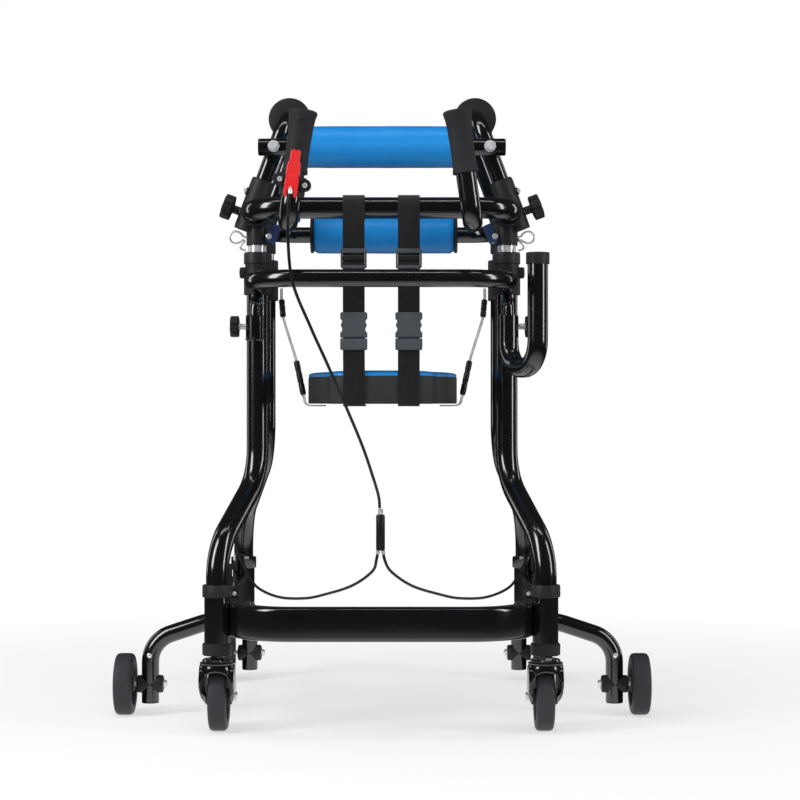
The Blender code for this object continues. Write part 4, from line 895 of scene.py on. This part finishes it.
def wheel_axles(word, side):
    """The saddles on the lower tubes and the bolts that carry the outrigger and rear wheels."""
    outward = X * side
    saddle_rings = mm((10, -20.5), (12.8, -19.5), (13.6, -17.5), (13.6, 17.5), (12.8, 20), (9, 21))
    nut = mm((6.4, 0), (6.4, 3.6), (5.6, 4.4), (3.6, 6))
    head = mm((6.8, 0.4), (6.8, 1.8), (5.2, 3.8), (2.2, 4.6))
    screw = mm((3.8, 0), (3.8, 1.2), (2.6, 2))
    for part, post_x, y, wheel_x in (("outrigger", OUTRIGGER_X, OUTRIGGER_Y, OUTRIGGER_WHEEL_X),
                                     ("rear", REAR_STUB_X, REAR_Y, REAR_WHEEL_X)):
        centre = at(side * post_x, y, WHEEL_R)
        wheel_centre = at(side * wheel_x, y, WHEEL_R)
        saddle = turned("saddle", saddle_rings, centre, outward, None, "frame")
        foot = at(side * post_x, y, 0)
        post = rod("post", foot, foot + Z * 0.1, 0.0136, None, "frame", steps=48)
        carve(saddle, "DIFFERENCE", [post])
        settle(round_edges(saddle, 0.0005), f"{part}_saddle_{word}", PLASTIC, "frame", f"{part}_axle_{word}")
        name = f"{part}_axle"
        rod(f"{name}_bolt_{word}", centre - outward * 0.025, wheel_centre + outward * 0.015, BOLT_R, STEEL,
            "frame")
        turned(f"{name}_nut_{word}", nut, centre - outward * 0.0203, -outward, STEEL, "frame", **HEX)
        turned(f"{name}_head_{word}", head, wheel_centre + outward * 0.014, outward, STEEL, "frame", steps=32)
        start = foot + Vector((0.0, -0.0133, 0.093))
        turned(f"{part}_screw_{word}", screw, start, -Y, STEEL, "frame", steps=24)


def post_collar(word, side):
    """The collar at the top of a post sleeve, with its ear and screw."""
    rings = mm((19.2, 200), (21.2, 200), (21.9, 200.8), (21.9, 216), (21.2, 217.6), (19, 218.2),
               (16.8, 218.2), (16.8, 213.3))
    turned(f"{word}_post_collar", rings, at(side * POST_X, 0, 0), Z, PLASTIC, "frame",
           f"post_collar_{word}")
    block(f"{word}_collar_ear", at(side * (POST_X - 0.0225), 0.01, 0.2044), (0.019, 0.012, 0.014), PLASTIC,
          "frame", edge=0.003)
    x = side * (POST_X - 0.0245)
    rod(f"{word}_collar_screw", at(x, 0.0015, 0.2044), at(x, 0.018, 0.2044), 0.0032, STEEL, "frame", steps=24)


def brake_arm(word, side):
    """A rear brake: a lug on the sleeve, an arm on its pivot, and a shoe at the tyre."""
    body = f"brake_arm_{word}"
    lug = at(side * (REAR_X - 0.001), BRAKE_Y - 0.004, 0.201)
    block(f"brake_lug_{word}", lug, (0.008, 0.018, 0.042), PAINT, "frame", edge=0.002)
    for part, x, z, size, replaced, edge in (
            ("cheek", BRAKE_X, 0.209, (0.006, 0.016, 0.034), body, 0.0028),
            ("bridge", 0.2684, 0.2, (0.0352, 0.014, 0.01), (), 0.002),
            ("shoe", 0.274, 0.1475, (0.022, 0.0155, 0.113), (), 0.0025)):
        block(f"brake_{part}_{word}", at(side * x, BRAKE_Y, z), size, PLASTIC, body, replaced, edge=edge)
    pivot = mm((2.6, -23), (2.6, 0), (6.2, 0.2), (6.2, 2), (4.6, 3.6), (1.8, 4.2))
    turned(f"brake_pivot_{word}", pivot, at(side * (BRAKE_X + 0.003), BRAKE_Y, 0.215), X * side, STEEL, body,
           steps=32)


def star_knob(name, hub_end, axis, reach, stem_r, radius, height, node, neck=PLASTIC):
    """A lobed plastic knob on a round neck, with its bright screw."""
    lobes = 7
    steps = lobes * 10
    outline = []
    for index in range(steps):
        angle = 2.0 * math.pi * index / steps
        dipped = radius - 0.003 * max(0.0, math.cos(angle * lobes)) ** 3
        outline.append((dipped * math.cos(angle), dipped * math.sin(angle)))
    across = axis.cross(Y).normalized()
    place = facing(hub_end + axis * (reach + height / 2), across, axis.cross(across))
    plate(f"{name}_head", outline, height, place, PLASTIC, node, node, edge=0.0018, bevel_steps=3)
    rings = [(stem_r, 0.0004), (stem_r, reach - 0.002), (stem_r + 0.0022, reach + 0.0006)]
    turned(f"{name}_neck", rings, hub_end, axis, neck, node, steps=32)
    rod(f"{name}_screw", hub_end - axis * 0.004, hub_end + axis * 0.003, 0.0033, STEEL, node, steps=24)


def knobs(word, side):
    """The star knobs on a front hoop sleeve and on an accessory peg."""
    axis = Vector((side, 0.0, HOOP_LEAN)).normalized()
    start = on_hoop(side, FRONT_UPRIGHT_Y, RING_Z + 0.0005) + axis * 0.018
    star_knob(f"hoop_knob_{word}", start, axis, 0.0116, 0.0064, 0.019, 0.015, f"star_knob_{word}")
    surface = 0.014 if side < 0 else 0.015
    end = at(side * (UPRIGHT_X + surface), PEG_Y, 0.598)
    star_knob(f"holder_knob_{word}", end, X * side, 0.01, 0.0043, 0.016, 0.013, f"peg_knob_{word}", STEEL)


def spring_clip(word, side):
    """A spring clip that locks the height: a wire pin, a wide loop and a small open loop."""
    places = mm((184, 736.5), (209, 736.5), (214.2, 740.8), (219.7, 744.5), (227.5, 744), (232.2, 738),
                (230.2, 730.5), (223.5, 727), (217, 729), (212, 731.8), (210, 729.5), (214, 726.2),
                (216.3, 721.2), (213.6, 717.5), (208, 716))
    route = smooth_line([at(side * x, FRONT_UPRIGHT_Y, z) for x, z in places], 0.0012)
    tube(f"clip_wire_{word}", route, 0.0016, STEEL, f"spring_clip_{word}", f"spring_clip_{word}", detail=6)


def lever_place(across, along, out):
    """A place on the left handle's front: across it, up along it and out towards the front."""
    return on_handle(-1.0, LEVER_Z) + LEVER_ACROSS * across + LEVER_UP * along - Y * out


def brake_lever():
    """The red lever, its pin, its clamp and the cable's ferrule."""
    outline = mm((-8.8, -32), (-5, -32), (-4.6, -26))
    outline += arc((0.0, -0.0255), 0.0046, 180.0, 0.0, 12)[1:]
    outline += mm((5, -32), (8.8, -32), (9.6, -27), (9.6, 8), (8.8, 15), (7, 17.5), (6.8, 31), (5.6, 33),
                  (-5.6, 33), (-6.8, 31), (-7, 17.5), (-8.8, 15), (-9.6, 8), (-9.6, -27))
    front = facing(lever_place(0.0, 0.0, 0.029), LEVER_ACROSS, LEVER_UP)
    plate("lever_blade", outline, 0.006, front, RED, "brake_lever", "brake_lever", edge=0.0018, bevel_steps=4)
    low = on_handle(-1.0, 0.768)
    reach = (on_handle(-1.0, 0.795) - low).length
    clamp = [(0.0142, 0.0), (0.0172, 0.0), (0.018, 0.001), (0.018, reach - 0.001), (0.0172, reach),
             (0.0142, reach)]
    turned("lever_clamp", clamp, low, LEVER_UP, PLASTIC, UPPER, "lever_bracket", loop=True)
    both(lever_ear)
    rod("lever_pin", lever_place(-0.0125, 0.0, 0.029), lever_place(0.0125, 0.0, 0.029), 0.0019, STEEL, UPPER,
        steps=24)
    top = at(-0.1215, -0.201, 0.7795)
    rod("lever_ferrule", top, at(-0.1224, -0.201, 0.769), 0.0032, STEEL, UPPER, steps=24)


def lever_ear(word, way):
    """A cheek of the lever's clamp, and an ear with its screw."""
    block(f"lever_cheek_{word}", lever_place(way * 0.0117, -0.0034, 0.0207), (0.0034, 0.0101, 0.024), PLASTIC,
          UPPER, edge=0.001, turn=Matrix((LEVER_ACROSS, LEVER_UP, -Y)).transposed())
    place = lever_place(way * 0.0175, -0.01 - way * 0.002, 0.01)
    radius = 0.0098 if way < 0 else 0.0086
    ear = [(radius - 0.001, 0.0), (radius, 0.001), (radius, 0.007), (radius - 0.0012, 0.0082)]
    turned(f"lever_ear_{word}", ear, place, -Y, PLASTIC, UPPER)
    screw = mm((3.4, 7.8), (3.6, 9.2), (3, 9.8), (2, 9.8), (1.7, 8.6))
    turned(f"lever_screw_{word}", screw, place, -Y, STEEL, UPPER, steps=28)


def main_cable():
    """The brake cable from the lever, and the splitter."""
    route = mm((-121.5, -201, 775), (-124.3, -201, 756), (-125.7, -193, 706.6), (-120.3, -170, 649),
               (-97, -140, 589), (-71.2, -110, 530), (-30.2, -50, 430.5), (-11, -8, 372), (-4, 20, 345),
               (-2.7, 28, 329))
    tube("cable_main", smooth_line([at(*place) for place in route], 0.005), CABLE_R, SHEATH,
         ((0.0, 0.0, 0.345), (0.0, 0.0, 0.76)), "main_cable", detail=6)
    place = at(SPLITTER_X, SPLITTER_Y, 0)
    body = mm((3, 265.5), (5.8, 266), (6.6, 267.5), (6.6, 316), (5.8, 318.5), (3, 319))
    turned("splitter", body, place, Z, SHEATH, "frame")
    ferrule = mm((3.4, 318.5), (3.8, 319.5), (3.8, 326.5), (2.4, 327.5))
    turned("splitter_ferrule", ferrule, place, Z, STEEL, "frame", steps=28)


def branch_cable(word, side):
    """The cable from the splitter to a rear brake."""
    x = SPLITTER_X + side * 0.004
    rod(f"branch_ferrule_{word}", at(x, SPLITTER_Y, 0.26), at(x, SPLITTER_Y, 0.266), 0.0029, STEEL, "frame",
        steps=24)
    places = mm((14, 48, 233), (45, 90, 208), (88, 150, 189), (121, 190, 179), (165, 250, 175),
                (205, 330, 183), (227, 400, 202), (243, 455, 223), (252.5, 495, 242), (253.8, 520, 248.5),
                (253.8, 528, 242), (253.8, 528, 226.3))
    route = [at(x, SPLITTER_Y, 0.2645), at(SPLITTER_X + side * 0.006, 0.032, 0.252)]
    route += [at(side * x, y, z) for x, y, z in places]
    tube(f"cable_branch_{word}", smooth_line(route, 0.005), CABLE_R, SHEATH, "frame", f"branch_cable_{word}",
         detail=6)


def strip(points, thickness):
    """The outline of a band that follows points in a plane."""
    left, right = [], []
    for index, (u, v) in enumerate(points):
        before = points[max(index - 1, 0)]
        after = points[min(index + 1, len(points) - 1)]
        along = Vector((after[0] - before[0], after[1] - before[1])).normalized()
        across = Vector((-along.y, along.x)) * thickness / 2
        left.append((u + across.x, v + across.y))
        right.append((u - across.x, v - across.y))
    return left + right[::-1]


def strap_top(word, side):
    """A strap's loop over the upper ring, and its slider with the webbing on it."""
    x = side * STRAP_X
    over = arc((0.0, RING_Z), STRAP_LOOP_R, -60.0, 180.0, 30)
    over += [(u - STRAP_LOOP_R, v) for u, v in mm((0.8, 745), (2, 720), (6, 690), (10.5, 650), (12.6, 616.3))]
    plate(f"strap_over_{word}", strip(over, STRAP_T), STRAP_W, facing(at(x, 0, 0), Y, Z), WEBBING,
          ((0.0, 0.0, 0.62), (0.0, 0.0, 0.74)), f"strap_{word}")
    slider_y = 0.004 - STRAP_LOOP_R
    outline = mirrored(mm((16, -14.5), (18, -13.8), (19, -12), (19, 12), (18, 13.8), (16, 14.5)))
    slider = plate("slider", outline, 0.0088, facing(at(x, slider_y, 0.694), X, Z), None, UPPER)
    window = block("window", at(x, slider_y, 0.693), (0.0325, 0.02, 0.0175), None, UPPER, edge=0.001)
    carve(slider, "DIFFERENCE", [window])
    settle(round_edges(slider, 0.0008), f"strap_slider_{word}", BUCKLE, UPPER)
    half = X * STRAP_W / 2
    for part, drop, z, radius in (("roll", 0.001, 0.6945, 0.0046), ("tail", 0.0016, 0.6858, 0.003)):
        centre = at(x, slider_y - drop, z)
        rod(f"slider_{part}_{word}", centre - half, centre + half, radius, WEBBING, UPPER, edge=0.0004)


def strap_low(word, side):
    """A strap's run to the seat, and its side-release buckle."""
    x = side * STRAP_X
    gap = 0.0008
    strap_y = 0.013 - STRAP_LOOP_R
    front_y = SEAT_FRONT_Y - gap - STRAP_T / 2
    low_z = SEAT_LOW_Z - gap - STRAP_T / 2
    run = [(strap_y, 0.59), (strap_y + 0.003, 0.56), (front_y, SEAT_TOP_Z), (front_y, 0.484),
           (front_y + 0.0006, low_z + 0.0012), (front_y + 0.0026, low_z), (0.13, low_z)]
    plate(f"strap_run_{word}", strip(run, STRAP_T), STRAP_W, facing(at(x, 0, 0), Y, Z), WEBBING,
          "frame")
    front = facing(at(x, strap_y, 0), X, Z)
    socket = mirrored(mm((18, 561), (19.2, 561.6), (19.8, 563), (19.8, 577), (19, 578)))
    plate(f"buckle_socket_{word}", socket, 0.013, front, BUCKLE, "frame", f"buckle_{word}", edge=0.0022,
          bevel_steps=4)
    plug = mirrored(mm((19, 579), (19.8, 580), (19.8, 586), (17.2, 589), (17, 593), (18.8, 596), (18.8, 599),
                       (17.2, 601.5), (17.2, 604), (19.8, 606.8), (19.8, 614), (19, 615.6), (17.6, 616.2)))
    plate(f"buckle_plug_{word}", plug, 0.0124, front, BUCKLE, "frame", edge=0.0018, bevel_steps=4)


def seat_outline(inset, centre_y):
    """The saddle in plan about a centre: a nose between the straps, then a wide rear."""
    nose = SEAT_NOSE_HALF - inset
    half = SEAT_HALF - inset
    front = SEAT_FRONT_Y + inset - centre_y
    back = SEAT_BACK_Y - inset - centre_y
    corner = 0.028
    right = arc((nose - corner, front + corner), corner, 270.0, 360.0, 12)
    right += [(nose, 0.112 - centre_y), (nose + 0.0022, 0.132 - centre_y), (nose + 0.01, 0.15 - centre_y),
              (half - 0.011, 0.184 - centre_y), (half - 0.0022, 0.198 - centre_y), (half, 0.212 - centre_y)]
    return mirrored(right + arc((half - corner, back - corner), corner, 0.0, 90.0, 12))


def seat():
    """The hanging seat: a banded board and a crowned blue cushion."""
    centre_y = 0.17
    plate("seat_band", seat_outline(0.0, 0.0), 0.0416, Matrix.Translation(at(0, 0, 0.503)), BAND, "frame",
          "seat_board", edge=0.0022, bevel_steps=4)
    drawn_outline(seat_outline(0.0006, centre_y))
    piece = as_mesh()
    place = at(0, centre_y, 0.5238)
    piece.location = place
    bpy.ops.object.transform_apply(location=True)
    crown = ((1.0, 0.0), (1.0, 0.0016), (0.998, 0.0032), (0.992, 0.0044), (0.98, 0.0053), (0.96, 0.006),
             (0.92, 0.0067), (0.86, 0.0073), (0.78, 0.0078), (0.68, 0.0083), (0.56, 0.0087), (0.42, 0.009),
             (0.26, 0.0092), (0.1, 0.0093))
    grow(crown, place, Z)
    crease(settle(piece, "seat_cover", BLUE, "frame", "seat_cushion", 60.0), 0.0006, 0.04)


def seat_rope(word, side):
    """A wire rope loop from the lower ring to the seat, with its two sleeves."""
    down = mm((163.8, 300, 668), (163.6, 299, 650), (161, 296, 621.4), (139.1, 284, 550.7), (127, 272, 496),
              (124.5, 268, 485), (118, 265, 479.5), (95, 265, 479))
    near = [at(side * (x - 0.0013), y - 0.002, z) for x, y, z in down]
    far = [at(side * (x + 0.0013), y + 0.002, z) for x, y, z in down]
    line = near + [at(side * 0.0915, 0.265, 0.479)] + far[::-1]
    tube(f"rope_wire_{word}", smooth_line(line, 0.004), 0.0011, WIRE, "frame", f"seat_rope_{word}", detail=4)
    middles = [(a + b) / 2 for a, b in zip(near, far)]
    for label, first in (("top", 1), ("low", 3)):
        run = middles[first + 1] - middles[first]
        reach = run.length
        rings = [(0.003, 0.0), (0.0044, 0.0008)]
        for step in range(3):
            rings += [(0.0048, reach * (step + 0.15) / 3), (0.0048, reach * (step + 0.78) / 3),
                      (0.0042, reach * (step + 0.9) / 3)]
        rings += [(0.0044, reach - 0.0008), (0.003, reach)]
        axis = run.normalized()
        turned(f"rope_sleeve_{label}_{word}", rings, middles[first], axis, SHEATH, "frame", steps=32)


def peg_and_tab(word, side):
    """A peg on a front leg, and a blue pull tab with its rivet."""
    x = side * UPRIGHT_X
    line = [at(x, FRONT_UPRIGHT_Y - 0.01, PEG_Z), at(x, PEG_Y, PEG_Z), at(x, PEG_Y, 0.58)]
    tube(f"peg_{word}", bent(line, 0.02, 9.0), 0.0085, PAINT, "frame")
    block(f"pull_tab_{word}", at(side * 0.164, 0.108, 0.7405), (0.0145, 0.0016, 0.029), NAVY, UPPER,
          edge=0.0007, turn=Matrix.Rotation(-side * math.radians(24.0), 3, "Y"))
    rivet = mm((4.6, 0), (4.2, 1.6), (2.6, 2.4))
    turned(f"tab_rivet_{word}", rivet, at(side * 0.1715, 0.1072, 0.7365), -Y, STEEL, UPPER, steps=32)


def accessories():
    """The left peg's sleeve, and the right J-shaped holder with its cap."""
    sleeve = mm((8.8, 577.2), (13.2, 577), (14.6, 578), (14.6, 580), (14, 580.8), (14, 614), (13.2, 615),
                (8.8, 615))
    turned("peg_sleeve_tube", sleeve, at(-UPRIGHT_X, PEG_Y, 0), Z, PAINT, "frame", "peg_sleeve", loop=True)
    line = [at(UPRIGHT_X, PEG_Y, 0.615), at(UPRIGHT_X, PEG_Y, HOLDER_LOW_Z),
            at(HOLDER_X, HOLDER_Y, HOLDER_LOW_Z), at(HOLDER_X, HOLDER_Y, 0.7)]
    tube("holder_bend", bent(line, 0.04), 0.015, PAINT, "holder", "holder_tube", wall=WALL)
    cap = mm((15.1, 686), (16.6, 686), (17.2, 686.8), (17.2, 701.8), (16.4, 703), (6, 703.2))
    turned("holder_cap", cap, at(HOLDER_X, HOLDER_Y, 0), Z, PLASTIC, "holder")


def stage_material():
    """A white floor with soft shadows that fades to white around the object, and reflects dark."""
    made = bpy.data.materials.new("pale_floor")
    made.use_nodes = True
    tree = made.node_tree
    tree.nodes.remove(tree.nodes["Principled BSDF"])
    nodes = Nodes(tree)
    places = nodes.node("TexCoord", {}, {}, "Object")
    far = nodes.node("VectorMath", {"operation": "LENGTH"}, {0: places}, "Value")
    glossy = nodes.rays("Glossy")
    seen = nodes.rays("Camera") * nodes.remap(far, 0.45, 1.5, 0.56, 1.0)
    strength = nodes.remap(glossy, 0.0, 1.0, 1.0, nodes.remap(far, 0.5, 1.2, 1.0, 0.03))
    matte = nodes.node("BsdfDiffuse", {}, {"Color": (0.85, 0.85, 0.85, 1.0)})
    glow = nodes.node("Emission", {}, {"Strength": strength})
    mix = nodes.node("MixShader", {}, {0: seen.maths("MAXIMUM", glossy), 1: matte, 2: glow})
    tree.links.new(mix.socket, tree.nodes["Material Output"].inputs["Surface"])
    return made


def world():
    """White behind the object, and a dimmer even light on it."""
    made = bpy.data.worlds.new("studio")
    bpy.context.scene.world = made
    made.use_nodes = True
    nodes = Nodes(made.node_tree)
    fill = nodes.remap(nodes.rays("Glossy"), 0.0, 1.0, 0.09, 0.04)
    strength = nodes.remap(nodes.rays("Camera"), 0.0, 1.0, fill, 1.0)
    background = made.node_tree.nodes["Background"]
    made.node_tree.links.new(strength.socket, background.inputs["Strength"])
    background.inputs["Color"].default_value = (1.0, 1.0, 1.0, 1.0)


def softbox(name, place, aim_z, size, power, mirrored_in_paint=True):
    """An area light aimed at the object; one that isn't mirrored gives light without a highlight."""
    lamp = bpy.data.lights.new(name, "AREA")
    lamp.shape = "RECTANGLE"
    lamp.size, lamp.size_y = size
    lamp.energy = power
    holder = bpy.data.objects.new(name, lamp)
    bpy.context.scene.collection.objects.link(holder)
    holder.location = place
    holder.rotation_euler = (Z * aim_z - Vector(place)).to_track_quat("-Z", "Y").to_euler()
    holder.visible_glossy = mirrored_in_paint


def camera():
    """The photograph's view: level, about 2.9 m in front of the posts."""
    eye = bpy.data.cameras.new("camera")
    eye.lens = 89.6
    eye.sensor_width = 36.0
    holder = bpy.data.objects.new("camera", eye)
    bpy.context.scene.collection.objects.link(holder)
    holder.location = at(0.0273, -2.913, 0.488)
    holder.rotation_euler = (math.radians(90.0), 0.0, 0.0)
    bpy.context.scene.camera = holder


def stage():
    """The floor, the lights and the camera."""
    deselect()
    bpy.ops.mesh.primitive_plane_add(size=30.0, location=(0.0, 0.0, 0.0))
    floor = bpy.context.object
    floor.name = "floor"
    floor.data.materials.append(stage_material())
    world()
    softbox("left_box", (-2.2, -1.6, 1.9), 0.5, (0.9, 2.4), 62.0)
    softbox("right_box", (2.4, -1.2, 1.5), 0.5, (0.5, 2.4), 30.0)
    softbox("top_box", (-0.3, -0.2, 2.7), 0.4, (1.8, 1.4), 18.0, False)
    softbox("front_box", (0.3, -3.4, 1.5), 0.6, (2.4, 1.4), 62.0, False)
    softbox("left_rim", (-2.4, 1.3, 1.1), 0.5, (0.4, 2.0), 8.0)
    softbox("right_rim", (2.4, 1.3, 1.1), 0.5, (0.4, 2.0), 8.0)
    softbox("top_strip", (0.0, -0.7, 2.6), 0.5, (2.2, 0.14), 7.0)
    camera()
    bpy.context.scene.view_settings.view_transform = "Standard"


cross_bar()
both(base_side, outrigger, legs)
lower_ring()
both(lower_ring_side)
upper_ring()
both(side_frame)
both(hoop)
chest_bar()
both(hoop_roll)
hip_bar()
both(hip_roll_end)
both(handle)
both(small_screws)
grip_tongue()
both(caster)
both(low_wheels)
both(wheel_axles, post_collar)
both(brake_arm)
both(knobs)
both(spring_clip)
brake_lever()
main_cable()
both(branch_cable)
both(strap_top, strap_low)
seat()
both(seat_rope)
both(peg_and_tab)
accessories()
stage()
